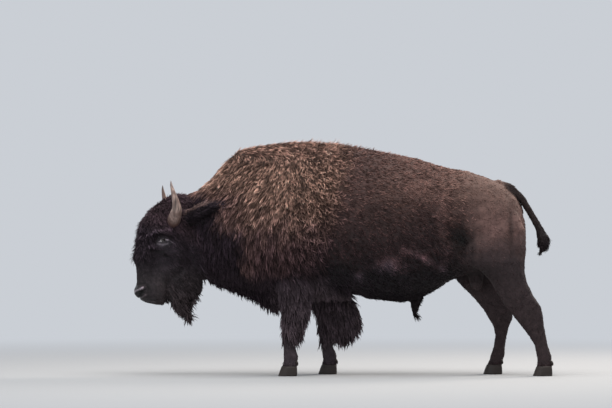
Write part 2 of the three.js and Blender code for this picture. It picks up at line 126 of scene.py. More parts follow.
def vectors(x, y, z):
    """A row for each point, from columns or single numbers."""
    return np.stack(np.broadcast_arrays(x, y, z), axis=1)


def shifted(faces, start):
    return [tuple(corner + start for corner in face) for face in faces]


def flipped(faces):
    return [face[::-1] for face in faces]


def between_rings(rings, sides, start=0, inward=False):
    """The quads that join rings of points to each other."""
    faces = []
    for low in range(start, start + (rings - 1) * sides, sides):
        high = low + sides
        for j in range(sides):
            k = (j + 1) % sides
            outward_face = (low + j, low + k, high + k, high + j)
            faces.append((low + j, high + j, high + k, low + k) if inward else outward_face)
    return faces


def new_object(name, mesh):
    piece = bpy.data.objects.new(name, mesh)
    bpy.context.scene.collection.objects.link(piece)
    return piece


def mesh_from(name, points, faces):
    mesh = bpy.data.meshes.new(name)
    mesh.from_pydata([tuple(p) for p in points], [], faces)
    mesh.update()
    return mesh


def smooth(mesh, flat_caps=False):
    for polygon in mesh.polygons:
        polygon.use_smooth = len(polygon.vertices) == 4 or not flat_caps


def store(mesh, name, values):
    """Stores a number at each vertex for the material to read."""
    layer = mesh.attributes.new(name, "FLOAT", "POINT")
    layer.data.foreach_set("value", values.astype(np.float32))


def paint(mesh, colours):
    """Stores the coat's colour at each vertex for the material to read."""
    layer = mesh.attributes.new("coat", "FLOAT_COLOR", "POINT")
    rgba = np.ones((len(colours), 4), np.float32)
    rgba[:, :3] = np.clip(colours, DARKEST, 1.0)
    layer.data.foreach_set("color", rgba.ravel())


def finished(piece, slot, material, *nodes):
    """Puts a piece on the body with its material and hides what it stands for. Its slot is not used."""
    piece.data.materials.clear()
    piece.data.materials.append(material)
    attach(piece, "root")
    if nodes:
        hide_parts(*nodes)
    return piece


# ------------------------------------------------------------------ head frame
HEAD_PIVOT = np.array([-1.150, 0.0, 1.150])
HEAD_YAW = math.radians(9.5)
HEAD_ROLL = math.radians(-2.5)


def head_matrix():
    c, s = math.cos(HEAD_YAW), math.sin(HEAD_YAW)
    yaw = np.array([[c, -s, 0.0], [s, c, 0.0], [0.0, 0.0, 1.0]])
    c, s = math.cos(HEAD_ROLL), math.sin(HEAD_ROLL)
    roll = np.array([[1.0, 0.0, 0.0], [0.0, c, -s], [0.0, s, c]])
    return yaw @ roll


HEAD_TURN = head_matrix()


def to_head(points):
    """From the part's frame to the head's own straight frame."""
    return (points - HEAD_PIVOT) @ HEAD_TURN + HEAD_PIVOT


def from_head(points):
    return (np.asarray(points) - HEAD_PIVOT) @ HEAD_TURN.T + HEAD_PIVOT


def slanted(own, slope, x):
    """Height on the head over a line that slants through the place x."""
    return own[:, 2] + slope * (own[:, 0] - x)


# ------------------------------------------------------------------ skin
def joined_flesh():
    """The flesh nodes in one mesh, each swollen a little so that the cuts close."""
    points, faces, start = [], [], 0
    for name in FLESH_NODES:
        mesh = NODES[name].data
        own = points_of(mesh)
        # CAD corners are split by face: the mean normal of all that share a place is used.
        keys = np.round(own, 5)
        _, same = np.unique(keys, axis=0, return_inverse=True)
        same = same.ravel()
        total = np.zeros((same.max() + 1, 3))
        np.add.at(total, same, normals_of(mesh))
        own = own + unit(total)[same] * SEAM_OVERLAP
        points.append(own)
        faces += shifted((face.vertices for face in mesh.polygons), start)
        start += len(own)
    return np.concatenate(points), faces


def remeshed(name, points, faces, voxel):
    rough = new_object(name + "_rough", mesh_from(name + "_rough", points, faces))
    remesh = rough.modifiers.new("voxels", "REMESH")
    remesh.mode = "VOXEL"
    remesh.voxel_size = voxel
    graph = bpy.context.evaluated_depsgraph_get()
    mesh = bpy.data.meshes.new_from_object(rough.evaluated_get(graph))
    bpy.data.objects.remove(rough)
    mesh.name = name
    return mesh


def ball(centre, radius, around=20, high=12):
    """Points and faces of a plain ball, which only fills a pocket."""
    points = [(0, 0, radius)]
    for i in range(1, high):
        polar = math.pi * i / high
        for j in range(around):
            turn = 2 * math.pi * j / around
            flat = math.sin(polar) * radius
            points.append((flat * math.cos(turn), flat * math.sin(turn), math.cos(polar) * radius))
    points.append((0, 0, -radius))
    faces = [(0, 1 + j, 1 + (j + 1) % around) for j in range(around)]
    faces += between_rings(high - 1, around, start=1, inward=True)
    last = len(points) - 1
    row = last - around
    faces += [(last, row + (j + 1) % around, row + j) for j in range(around)]
    return np.array(points) + np.array(centre), faces


EYE_RADIUS = 0.0245
CORNEA_BULGE = 0.08
EYE_CENTRE = np.array([-1.395, -0.1455, 1.026])
HORN_ROOTS = [((-1.311, -0.118, 1.170), 0.050), ((-1.311, -0.145, 1.171), 0.049)]
EYE_PLUG = (tuple(EYE_CENTRE + np.array([0.0, 0.016, 0.0])), 0.027)


def pocket_plugs():
    """Balls that close the pockets of the horns and the eyes in the head's own flesh."""
    plugs = []
    for side in (1, -1):
        for centre, radius in HORN_ROOTS + [EYE_PLUG]:
            place = np.array(centre) * np.array([1, side, 1])
            points, faces = ball(place, radius)
            plugs.append((from_head(points), faces))
    return plugs


EAR_PATH = np.array([
    [-1.200, -0.172, 1.222], [-1.150, -0.218, 1.244], [-1.098, -0.256, 1.266],
    [-1.046, -0.284, 1.288], [-1.006, -0.298, 1.304],
])
TAIL_PATH = np.array([
    [1.190, 0.0, 1.470], [1.298, -0.002, 1.434], [1.384, -0.004, 1.354], [1.455, -0.006, 1.236],
    [1.512, -0.008, 1.135], [1.545, -0.010, 1.050], [1.550, -0.012, 0.990], [1.524, -0.012, 0.935],
])
SHEATH_PATH = np.array([[0.560, 0.0, 0.560], [0.557, 0.0, 0.500], [0.555, 0.0, 0.434]])


def from_path(points, path):
    """How far each point is from a path, and how far along the path it lies, 0 to 1."""
    best = np.full(len(points), 9.0)
    along = np.zeros(len(points))
    for k in range(len(path) - 1):
        step = path[k + 1] - path[k]
        t = np.clip((points - path[k]) @ step / (step @ step), 0, 1)
        far = np.linalg.norm(points - path[k] - t[:, None] * step, axis=1)
        nearer = far < best
        best = np.where(nearer, far, best)
        along = np.where(nearer, (k + t) / (len(path) - 1), along)
    return best, along


def on_ear(points):
    own = mirrored(to_head(points))
    far, _ = from_path(own, EAR_PATH)
    return ramp(0.066, 0.056, far) * ramp(-0.150, -0.168, own[:, 1])


def on_tail(points):
    far, along = from_path(points, TAIL_PATH)
    return ramp(0.056, 0.044, far) * ramp(0.02, 0.12, along)


def on_sheath(points):
    far, along = from_path(points, SHEATH_PATH)
    return ramp(0.055, 0.045, far) * ramp(0.0, 0.2, along)


def head_share(points):
    """1 on the head, 0 behind the neck plane."""
    return ramp(-1.05, -1.15, points[:, 0] + 0.2 * (points[:, 2] - 1.0))


def coat_depth(points):
    """How deep the coat is over the skin, in metres."""
    x, z = points[:, 0], points[:, 2]
    depth = 0.011 + 0.019 * ramp(0.10, -0.12, x) - 0.004 * ramp(0.6, 0.9, x)
    depth = depth - 0.016 * ramp(1.10, 1.45, z) * ramp(0.10, -0.12, x)
    depth = depth + 0.013 * ramp(0.310, 0.370, np.abs(points[:, 1]))
    foreleg = ramp(0.70, 0.60, z) * ramp(0.20, 0.10, x)
    chaps = np.interp(z, [0.24, 0.34, 0.60], [0.006, 0.018, 0.034])
    depth = depth * (1 - foreleg) + chaps * foreleg
    hindleg = ramp(0.95, 0.70, z) * ramp(0.75, 0.85, x)
    depth = depth * (1 - hindleg) + 0.007 * hindleg
    _, along = from_path(points, TAIL_PATH)
    tail_depth = -0.003 + 0.014 * ramp(0.76, 0.92, along)
    for thin, own_depth in ((on_sheath(points), 0.008), (on_tail(points), tail_depth)):
        depth = depth * (1 - thin) + own_depth * thin
    own = to_head(points)
    head = head_share(points)
    face = 0.013 * (1 - 0.40 * ramp(1.16, 1.02, own[:, 2])) * ramp(0.60, 0.80, own[:, 2])
    forehead = ramp(-1.44, -1.52, own[:, 0]) * ramp(0.90, 1.00, own[:, 2])
    face = face * (1 - 0.85 * ramp(-1.50, -1.57, own[:, 0]) * (1 - forehead)) + 0.002 + 0.006 * forehead
    eye = blob(own, EYE_CENTRE, (0.07, 0.09, 0.055), mirror=True)
    face = face * (1 - 0.85 * eye)
    beard = ramp(0.80, 0.66, slanted(own, 0.5, -1.36)) * ramp(-1.385, -1.345, own[:, 0])
    beard_depth = 0.030 + 0.030 * ramp(-1.32, -1.37, own[:, 0]) * ramp(0.64, 0.60, own[:, 2])
    beard_depth += 0.022 * ramp(-1.24, -1.16, own[:, 0]) * ramp(0.70, 0.60, own[:, 2])
    face = face * (1 - beard) + beard_depth * beard
    depth = depth * (1 - head) + face * head
    ear = on_ear(points)
    return depth * (1 - ear) + 0.003 * ear


def face_forms(own):
    """Bone and folds of the face, as pushes along the normal, in the head's frame."""
    push = np.zeros(len(own))
    for centre, radii, height in FACE_FORMS:
        push += height * blob(own, centre, radii, mirror=True)
    return push


FACE_FORMS = [
    ((-1.430, -0.150, 1.088), (0.060, 0.06, 0.018), 0.020),  # brow ridge
    ((-1.440, -0.150, 1.058), (0.030, 0.06, 0.012), -0.007),  # under the brow
    ((-1.345, -0.150, 1.060), (0.030, 0.06, 0.024), 0.008),  # back of the orbit
    ((-1.452, -0.150, 1.005), (0.020, 0.05, 0.022), -0.008),  # tear duct
    ((-1.390, -0.150, 0.982), (0.050, 0.06, 0.014), 0.006),  # fold under the eye
    ((-1.420, -0.145, 0.948), (0.060, 0.06, 0.012), -0.006),  # crease under the fold
    ((-1.370, -0.140, 0.930), (0.090, 0.06, 0.022), 0.008),  # cheek bone
    ((-1.270, -0.130, 0.880), (0.070, 0.08, 0.090), 0.012),  # chewing muscle
    ((-1.490, -0.090, 0.800), (0.050, 0.05, 0.070), -0.010),  # hollow before the cheek
    ((-1.590, -0.000, 0.780), (0.030, 0.045, 0.100), 0.006),  # bridge of the nose
    ((-1.550, -0.078, 0.674), (0.034, 0.03, 0.013), 0.010),  # wing over the nostril
    ((-1.520, -0.085, 0.640), (0.030, 0.03, 0.024), 0.006),  # behind the nostril
    ((-1.530, -0.070, 0.612), (0.045, 0.04, 0.014), 0.006),  # upper lip
    ((-1.470, -0.060, 0.560), (0.040, 0.04, 0.014), 0.006),  # lower lip
    ((-1.600, -0.000, 0.640), (0.030, 0.008, 0.040), -0.005),  # groove between the nostrils
]
# The front of the face without its hair, from the chin up, in the head's frame.
PROFILE_Z = [0.545, 0.560, 0.578, 0.592, 0.605, 0.622, 0.642, 0.665, 0.690, 0.715, 0.760, 0.830]
PROFILE_X = [-1.478, -1.532, -1.560, -1.577, -1.592, -1.603, -1.605, -1.598, -1.586, -1.580, -1.582, -1.586]
BODY_FORMS = [
    ((-0.50, -0.30, 0.98), (0.16, 0.20, 0.20), 0.016),  # upper arm
    ((-0.30, -0.32, 0.80), (0.07, 0.15, 0.09), 0.012),  # elbow
    ((0.88, -0.28, 1.07), (0.06, 0.20, 0.09), -0.026),  # flank hollow
    ((0.84, -0.28, 1.16), (0.09, 0.20, 0.14), -0.012),  # above the flank
    ((0.55, -0.32, 0.935), (0.12, 0.20, 0.026), 0.012),  # flank fold, front
    ((0.72, -0.32, 0.850), (0.10, 0.20, 0.028), 0.014),  # flank fold, back
    ((0.80, -0.24, 1.36), (0.05, 0.14, 0.12), 0.012),  # hip bone
    ((1.02, -0.25, 0.96), (0.12, 0.15, 0.12), 0.014),  # stifle
    ((1.14, -0.22, 1.08), (0.10, 0.15, 0.16), 0.014),  # thigh muscle
    ((1.285, -0.20, 1.08), (0.018, 0.14, 0.22), -0.012),  # groove behind the thigh
    ((1.35, -0.10, 1.34), (0.05, 0.06, 0.05), 0.012),  # pin bone
    ((0.30, -0.36, 0.86), (0.18, 0.15, 0.05), 0.008),  # lower ribs
    ((1.36, -0.16, 0.60), (0.05, 0.08, 0.04), 0.006),  # hock
]
RIB_REGION = ((0.30, -0.36, 1.10), (0.30, 0.30, 0.22))
RIB_SPACING, RIB_HEIGHT, RIB_LEAN = 0.075, 0.0012, 0.25


def body_forms(points):
    push = np.zeros(len(points))
    for centre, radii, height in BODY_FORMS:
        push += height * blob(points, centre, radii, mirror=True)
    ribs = np.sin((points[:, 0] + RIB_LEAN * points[:, 2]) * 2 * math.pi / RIB_SPACING)
    push += RIB_HEIGHT * ribs * blob(points, *RIB_REGION, mirror=True)
    return push


MOUTH_X = [-1.60, -1.56, -1.50, -1.45, -1.42]
MOUTH_Z = [0.594, 0.587, 0.573, 0.569, 0.581]
MOUTH_LINE_WIDTH, MOUTH_LINE_DEPTH = 0.0045, -0.008
SOCKET = tuple(EYE_CENTRE + np.array([-0.002, -0.020, -0.002]))
SOCKET_RADII, SOCKET_DEPTH = (0.040, 0.060, 0.030), -0.011
# The hollows of each nostril: centre, radii, depth.
NOSTRIL = [
    ((-1.577, -0.046, 0.624), (0.026, 0.024, 0.020), -0.032),
    ((-1.553, -0.064, 0.636), (0.022, 0.022, 0.016), -0.024),
    ((-1.530, -0.077, 0.651), (0.015, 0.018, 0.009), -0.010),
]


def carve_face(own):
    """The eye sockets, the nostrils and the mouth line, as pushes along the normal."""
    place = mirrored(own)
    push = SOCKET_DEPTH * blob(place, SOCKET, SOCKET_RADII)
    for centre, radii, depth in NOSTRIL:
        push += depth * blob(place, centre, radii)
    line = np.interp(place[:, 0], MOUTH_X, MOUTH_Z)
    near = np.exp(-(((place[:, 2] - line) / MOUTH_LINE_WIDTH) ** 2))
    return push + MOUTH_LINE_DEPTH * near * ramp(-1.415, -1.435, place[:, 0])


def fit_profile(own, share):
    """Draws the front of the muzzle to its profile."""
    z = own[:, 2]
    front = np.full(len(PROFILE_Z), 0.0)
    for k, level in enumerate(PROFILE_Z):
        near = (np.abs(z - level) < 0.010) & (share > 0.5) & (np.abs(own[:, 1]) < 0.06)
        front[k] = own[near, 0].min() if near.any() else PROFILE_X[k]
    step = np.interp(z, PROFILE_Z, np.array(PROFILE_X) - front)
    weight = ramp(-1.36, -1.54, own[:, 0]) * ramp(0.90, 0.82, z) * (share > 0.5)
    own = own.copy()
    own[:, 0] += step * weight
    return own


def refine(mesh, wanted, cuts):
    """Splits the faces whose centre is wanted, for finer forms."""
    work = bmesh.new()
    work.from_mesh(mesh)
    for _ in range(cuts):
        centres = np.array([face.calc_center_median() for face in work.faces])
        chosen = wanted(centres)
        edges = {edge for face, keep in zip(work.faces, chosen) if keep for edge in face.edges}
        bmesh.ops.subdivide_edges(work, edges=list(edges), cuts=1, use_grid_fill=True, smooth=0.0)
    work.to_mesh(mesh)
    work.free()
    mesh.update()


def is_face(centres):
    own = to_head(centres)
    return (own[:, 0] < -1.36) & (own[:, 2] < 1.10) & (head_share(centres) > 0.5)


def is_muzzle_or_eye(centres):
    own = to_head(centres)
    muzzle = (own[:, 0] < -1.44) & (own[:, 2] < 0.70)
    eye = np.linalg.norm(mirrored(own) - EYE_CENTRE, axis=1) < 0.055
    return (muzzle | eye) & (head_share(centres) > 0.5)


# The lids' rows from the opening outwards: width, height up, height down, depth, as shares of
# the eye's radius.
LID_ROWS = [
    (0.97, 0.46, 0.36, 1.01),
    (0.99, 0.50, 0.40, 1.08),
    (1.06, 0.64, 0.54, 1.12),
    (1.16, 0.84, 0.72, 1.04),
    (1.26, 0.98, 0.88, 0.84),
    (1.40, 1.16, 1.08, 0.82),
    (1.64, 1.46, 1.36, 0.50),
    (2.00, 1.90, 1.70, -0.10),
]
LID_SIDES = 44
LID_BACK = 0.55  # how far the ring's hidden edge lies behind the opening, in radii
GAZE = np.array([-0.24, -0.97, -0.02])


def eye_axes(side):
    """The way the eye looks, its level line and its upright line, in the head's frame."""
    look = unit(GAZE * np.array([1, -side, 1]))
    ahead = unit(np.array([-1.0, 0.0, -0.28]) - look * (look @ np.array([-1.0, 0.0, -0.28])))
    up = np.cross(look, ahead)
    return look, ahead, up * np.sign(up[2])


def lids(side):
    """Points and faces of both lids of one eye, a closed ring around the opening."""
    look, ahead, up = eye_axes(side)
    centre = EYE_CENTRE * np.array([1, -side, 1])
    points = []
    for wide, high, low, depth in LID_ROWS:
        for j in range(LID_SIDES):
            angle = 2 * math.pi * j / LID_SIDES
            c, s = math.cos(angle), math.sin(angle)
            u = c * wide
            almond = abs(s) ** 1.25
            v = almond * (high if s > 0 else -low)
            reach = max(depth**2 - (u * u + v * v) * min(1.0, 1.2 / (wide + 0.4)), 0.0) ** 0.5
            reach = reach if wide < 1 else depth - 0.34 * (wide - 0.9)
            points.append(centre + (ahead * u + up * v + look * reach) * EYE_RADIUS)
    inner = len(points)
    last = inner - LID_SIDES
    for j in range(LID_SIDES):
        points.append(points[j] - look * EYE_RADIUS * LID_BACK)
    faces = between_rings(len(LID_ROWS), LID_SIDES, inward=True)
    for j in range(LID_SIDES):
        k = (j + 1) % LID_SIDES
        faces.append((last + j, inner + j, inner + k, last + k))
        faces.append((inner + j, j, k, inner + k))
    turned = np.cross(ahead, up) @ look > 0
    return from_head(np.array(points)), faces if turned else flipped(faces)


def add_lids(mesh):
    work = bmesh.new()
    work.from_mesh(mesh)
    for side in (-1, 1):
        points, faces = lids(side)
        corners = [work.verts.new(tuple(point)) for point in points]
        for face in faces:
            work.faces.new([corners[v] for v in face])
    work.to_mesh(mesh)
    work.free()
    mesh.update()


def build_skin():
    points, faces = joined_flesh()
    for more_points, more_faces in pocket_plugs():
        faces += shifted(more_faces, len(points))
        points = np.concatenate([points, more_points])
    mesh = remeshed("skin", points, faces, VOXEL)
    edges = edges_of(mesh)
    co = points_of(mesh)
    co = relax(co, edges, 60, 0.55 * (1 - 0.6 * head_share(co)), keep_size=True)
    set_points(mesh, co)
    normals = unit(relax(normals_of(mesh), edges, 6, 0.6))
    co = co - normals * coat_depth(co)[:, None]
    co = relax(co, edges, 12, 0.5 * (1 - 0.5 * head_share(co)), keep_size=True)
    set_points(mesh, co)
    refine(mesh, is_face, 1)
    refine(mesh, is_muzzle_or_eye, 1)
    edges = edges_of(mesh)
    co = relax(points_of(mesh), edges, 3, 0.5 * is_face(points_of(mesh)))
    set_points(mesh, co)
    normals = normals_of(mesh)
    share = head_share(co)
    push = face_forms(to_head(co)) * share + body_forms(co) * (1 - share)
    co = co + normals * push[:, None]
    set_points(mesh, co)
    co = from_head(fit_profile(to_head(co), share))
    set_points(mesh, co)
    carve = carve_face(to_head(co)) * share
    co = co + normals_of(mesh) * carve[:, None]
    set_points(mesh, co)
    add_lids(mesh)
    smooth(mesh)
    return mesh


skin_mesh = build_skin()
skin = new_object("skin", skin_mesh)


# ------------------------------------------------------------------ horns, eyes, hooves
# Head's own frame: x, y, z, half thickness, from the root to the tip of the left horn.
HORN = np.array([
    [-1.312, -0.110, 1.172, 0.0480],
    [-1.318, -0.178, 1.174, 0.0510],
    [-1.316, -0.238, 1.200, 0.0490],
    [-1.303, -0.282, 1.256, 0.0390],
    [-1.316, -0.300, 1.322, 0.0270],
    [-1.335, -0.296, 1.390, 0.0175],
    [-1.347, -0.280, 1.444, 0.0100],
    [-1.348, -0.270, 1.474, 0.0030],
])


def along_path(table, count):
    """A smooth run of count rows through a table's rows."""
    steps = np.concatenate([[0], np.cumsum(np.linalg.norm(np.diff(table[:, :3], axis=0), axis=1))])
    at = np.linspace(0, steps[-1], count)
    rows = np.stack([np.interp(at, steps, table[:, k]) for k in range(table.shape[1])], axis=1)
    reach = max(2, count // 14)
    kernel = np.hanning(2 * reach + 1)
    kernel /= kernel.sum()
    padded = np.concatenate([
        2 * rows[:1] - rows[reach:0:-1], rows, 2 * rows[-1:] - rows[-2:-reach - 2:-1],
    ])
    return np.stack([np.convolve(padded[:, k], kernel, "valid") for k in range(rows.shape[1])], axis=1)


def tube(rows, sides, shape):
    """Points and faces of a closed tube; shape(ring, angle) scales its radius."""
    forward = unit(np.gradient(rows[:, :3], axis=0))
    across = np.empty_like(forward)
    along_y = abs(forward[0, 1]) > 0.95
    across[0] = [1.0, 0.0, 0.0] if along_y else unit(np.cross(forward[0], [0.0, 1.0, 0.0]) + 1e-9)
    for i in range(1, len(rows)):
        across[i] = unit(across[i - 1] - forward[i] * (across[i - 1] @ forward[i]))
    up = np.cross(forward, across)
    points = []
    for i, row in enumerate(rows):
        for j in range(sides):
            angle = 2 * math.pi * j / sides
            reach = row[3] * shape(i, angle)
            points.append(row[:3] + (across[i] * math.cos(angle) + up[i] * math.sin(angle)) * reach)
    faces = between_rings(len(rows), sides)
    faces.append(tuple(range(sides))[::-1])
    faces.append(tuple((len(rows) - 1) * sides + j for j in range(sides)))
    return np.array(points), faces


HORN_RINGS = 90
HORN_SIDES = 26
RIDGE_ROOM = 0.001  # keeps the ridges within the horn's own size
HORN_TIP = 0.002


def horn_shape(ring, angle):
    share = ring / HORN_RINGS
    ridges = 0.022 * math.sin(ring * 1.15) * max(0.0, 1 - share * 2.2)
    flutes = 0.014 * math.sin(9 * angle + 2.0 * math.sin(3 * share)) * max(0.0, 1 - share * 1.4)
    frayed = 0.030 * math.sin(3 * angle + 5 * share) * max(0.0, 1 - abs(share - 0.16) * 6)
    return 1 + ridges + flutes + frayed


def make_horn(name, side):
    rows = along_path(HORN, HORN_RINGS)
    rows[:, 3] = np.maximum(rows[:, 3] - RIDGE_ROOM, HORN_TIP)
    points, faces = tube(rows, HORN_SIDES, horn_shape)
    points[:, 1] *= -side
    mesh = mesh_from(name, from_head(points), flipped(faces) if side > 0 else faces)
    smooth(mesh, flat_caps=True)
    store(mesh, "along", np.repeat(np.linspace(0, 1, HORN_RINGS), HORN_SIDES))
    return new_object(name, mesh)


def make_eye(name, side):
    """A ball with a bulging cornea; its colours come from two stored coordinates."""
    points, faces = ball((0, 0, 0), 1.0, 40, 30)
    points = points * (1 + CORNEA_BULGE * ramp(0.80, 1.0, points[:, 2]))[:, None]
    look, ahead, up = eye_axes(side)
    turned = (points[:, :1] * ahead + points[:, 1:2] * up + points[:, 2:] * look) * EYE_RADIUS
    if np.cross(ahead, up) @ look < 0:
        faces = flipped(faces)
    mesh = mesh_from(name, from_head(turned + EYE_CENTRE * np.array([1, -side, 1])), faces)
    smooth(mesh)
    store(mesh, "level", points[:, 0])
    store(mesh, "rise", points[:, 1])
    return new_object(name, mesh)


# Coronets: front, back, side, half width.
HOOVES = {
    "hoof_left_fore": (-0.463, -0.345, -0.170, 0.058),
    "hoof_right_fore": (-0.155, -0.039, 0.170, 0.058),
    "hoof_left_hind": (1.483, 1.599, -0.160, 0.057),
    "hoof_right_hind": (1.123, 1.239, 0.160, 0.057),
}
# Each level from the coronet to the sole: z, then how far it stands out in front, behind and
# to the side.
HOOF_LEVELS = [
    (0.076, -0.010, -0.014, -0.010),
    (0.074, -0.003, -0.007, -0.004),
    (0.069, 0.002, -0.002, 0.000),
    (0.066, 0.002, -0.002, 0.000),
    (0.058, 0.006, -0.001, 0.002),
    (0.048, 0.010, 0.000, 0.003),
    (0.036, 0.014, 0.001, 0.004),
    (0.022, 0.019, 0.001, 0.005),
    (0.010, 0.0235, 0.001, 0.006),
    (0.003, 0.0260, 0.000, 0.006),
    (0.000, 0.0235, -0.003, 0.003),
]
HOOF_SIDES = 40
DEWCLAW_SPREAD = 0.026


def toe_outline(angle, front, back, inner, outer):
    """A toe seen from above: round behind and drawn to a blunt point in front."""
    c, s = math.cos(angle), math.sin(angle)
    u = math.copysign(abs(c) ** 0.86, c)
    v = math.copysign(abs(s) ** 0.80, s)
    ahead = max(0.0, -u)
    lean = 0.5 + 0.5 * v * (1 - 0.42 * ahead**2.5) - 0.16 * ahead**2
    return (front + back) / 2 + (back - front) / 2 * u, inner + (outer - inner) * lean


def make_hoof(name):
    """Two toes with a cleft between them, and the two claws behind."""
    front, back, middle, half = HOOVES[name]
    points, faces = [], []
    rows = len(HOOF_LEVELS)
    for toe in (-1, 1):
        start = len(points)
        for row, (z, fore, rear, wide) in enumerate(HOOF_LEVELS):
            gap = 0.0030 + 0.05 * (0.076 - z)
            for j in range(HOOF_SIDES):
                angle = 2 * math.pi * j / HOOF_SIDES
                x, y = toe_outline(angle, front - fore, back + rear, gap, half + wide)
                ridge = 0.0006 * math.sin(row * 2.4 + 0.6 * math.sin(2 * angle))
                points.append((x - ridge, middle + toe * (y + ridge), z))
        top = tuple(range(start, start + HOOF_SIDES))
        sole = tuple(range(len(points) - HOOF_SIDES, len(points)))
        own = between_rings(rows, HOOF_SIDES, start) + [top[::-1], sole]
        faces += own if toe < 0 else flipped(own)
    for toe in (-1, 1):
        more_points, more_faces = dewclaw(back, middle + toe * DEWCLAW_SPREAD, toe)
        faces += shifted(more_faces, len(points))
        points += more_points
    mesh = mesh_from(name + "_toes", points, faces)
    smooth(mesh, flat_caps=True)
    return new_object(name + "_toes", mesh)


def dewclaw(back, side, toe):
    """The small blunt claw behind the pastern."""
    rows = np.array([
        [back - 0.022, side, 0.118, 0.0090],
        [back - 0.010, side + 0.002 * toe, 0.110, 0.0115],
        [back - 0.001, side + 0.003 * toe, 0.098, 0.0110],
        [back + 0.003, side + 0.003 * toe, 0.086, 0.0075],
        [back + 0.003, side + 0.002 * toe, 0.079, 0.0030],
    ])
    points, faces = tube(along_path(rows, 12), 14, lambda ring, angle: 1 + 0.05 * math.sin(2 * angle))
    return [tuple(point) for point in points], faces


# ------------------------------------------------------------------ coat colours
# Albedo of each part of the coat, in linear RGB. The darker belly, flank and low cape and the lighter back
# and rump top are partly the coat's own colour and partly painted shade underneath and painted light from
# above.
CAPE = np.array([0.172, 0.102, 0.078])
CAPE_LOW = np.array([0.046, 0.026, 0.027])
CAPE_NECK = np.array([0.105, 0.060, 0.053])
HUMP_TOP = np.array([0.158, 0.092, 0.072])
CREST = np.array([0.130, 0.073, 0.061])
BACK = np.array([0.088, 0.048, 0.042])
FLANK = np.array([0.028, 0.015, 0.016])
LOIN = np.array([0.120, 0.066, 0.055])
RUMP_TOP = np.array([0.175, 0.102, 0.083])
RUMP_SIDE = np.array([0.158, 0.088, 0.077])
DARK = np.array([0.021, 0.014, 0.019])
HEAD_HAIR = np.array([0.029, 0.021, 0.027])
CROWN_HAIR = np.array([0.046, 0.029, 0.035])
MUZZLE_HAIR = np.array([0.036, 0.028, 0.031])
BELLY = np.array([0.011, 0.008, 0.010])
LEG = np.array([0.052, 0.034, 0.036])
EAR_EDGE = np.array([0.190, 0.125, 0.115])
TAIL_HAIR = np.array([0.034, 0.022, 0.021])
TASSEL_HAIR = np.array([0.024, 0.018, 0.020])
CHAPS = np.array([0.068, 0.050, 0.058])
BEARD_HAIR = np.array([0.042, 0.032, 0.034])
NOSE = np.array([0.022, 0.019, 0.021])
EYE_SKIN = np.array([0.066, 0.055, 0.062])


def cape_share(points):
    """The light woolly cape over the hump and the shoulder."""
    x, z = points[:, 0], points[:, 2]
    ragged = 0.05 * wander(points, 0.16, 5)
    upper = ramp(1.09, 1.21, z + ragged)
    upper *= ramp(-0.06, 0.06, x + ragged - np.interp(z, [1.33, 1.44], [-0.94, -1.08]))
    lower = ramp(-0.80, -0.69, x + ragged) * ramp(0.74, 0.90, z + ragged)
    rear = ramp(0.14, -0.12, x + 1.5 * ragged - np.interp(z, [0.87, 1.08, 1.73], [-0.27, -0.145, 0.02]))
    return (1 - (1 - upper) * (1 - lower)) * rear


def wander(points, scale, seed):
    """Smooth noise between -1 and 1 from a few crossed waves."""
    rng = np.random.default_rng(seed)
    total = np.zeros(len(points))
    for octave in range(5):
        ways = rng.normal(size=(3, 3))
        ways /= np.linalg.norm(ways, axis=1, keepdims=True)
        phase = rng.random(3) * 2 * math.pi
        waves = np.sin(points @ ways.T * (2 * math.pi / scale) * (1 + 0.37 * octave) + phase)
        total += waves.prod(axis=1)
    return np.clip(total / 2.2, -1, 1)


# Painted light and shade on the body, alike on both sides: centre, radii, factor.
PAINTED_LIGHT_AND_SHADE = [
    ((0.900, -0.30, 1.050), (0.085, 0.5, 0.100), 0.03),  # painted shade in the flank hollow
    ((0.860, -0.30, 1.050), (0.150, 0.5, 0.180), 0.50),
    ((1.120, -0.25, 1.090), (0.110, 0.5, 0.120), 1.35),  # painted light on the thigh
    ((0.755, -0.25, 1.200), (0.050, 0.5, 0.230), 1.65),  # painted light before the hip
    ((1.285, -0.20, 1.120), (0.022, 0.5, 0.200), 0.50),  # painted shade in the groove behind the thigh
    # painted rim light on the back edge of the thigh
    ((1.375, -0.10, 1.150), (0.035, 0.5, 0.240), 1.30),
    ((0.570, -0.30, 1.420), (0.110, 0.5, 0.070), 1.55),  # painted light on the ruffled loin
    ((0.340, -0.35, 0.850), (0.085, 0.3, 0.042), 8.5),  # painted light on the lower ribs
    ((0.120, -0.35, 0.765), (0.040, 0.3, 0.030), 5.5),
    ((0.100, -0.35, 1.300), (0.100, 0.5, 0.180), 1.15),
    ((1.050, -0.20, 0.780), (0.160, 0.5, 0.060), 0.55),  # painted shade under the thigh
]
# Painted highlights on lines of skin that catch the light: first end, last end, width, factor.
PAINTED_HIGHLIGHT_LINES = [
    (((0.45, 0.0, 0.965), (0.62, 0.0, 0.905), 0.022), 3.2),  # painted highlight on the flank fold
    (((0.60, 0.0, 0.910), (0.76, 0.0, 0.815), 0.024), 3.4),
    (((0.76, 0.0, 0.815), (0.80, 0.0, 1.000), 0.026), 1.9),
]
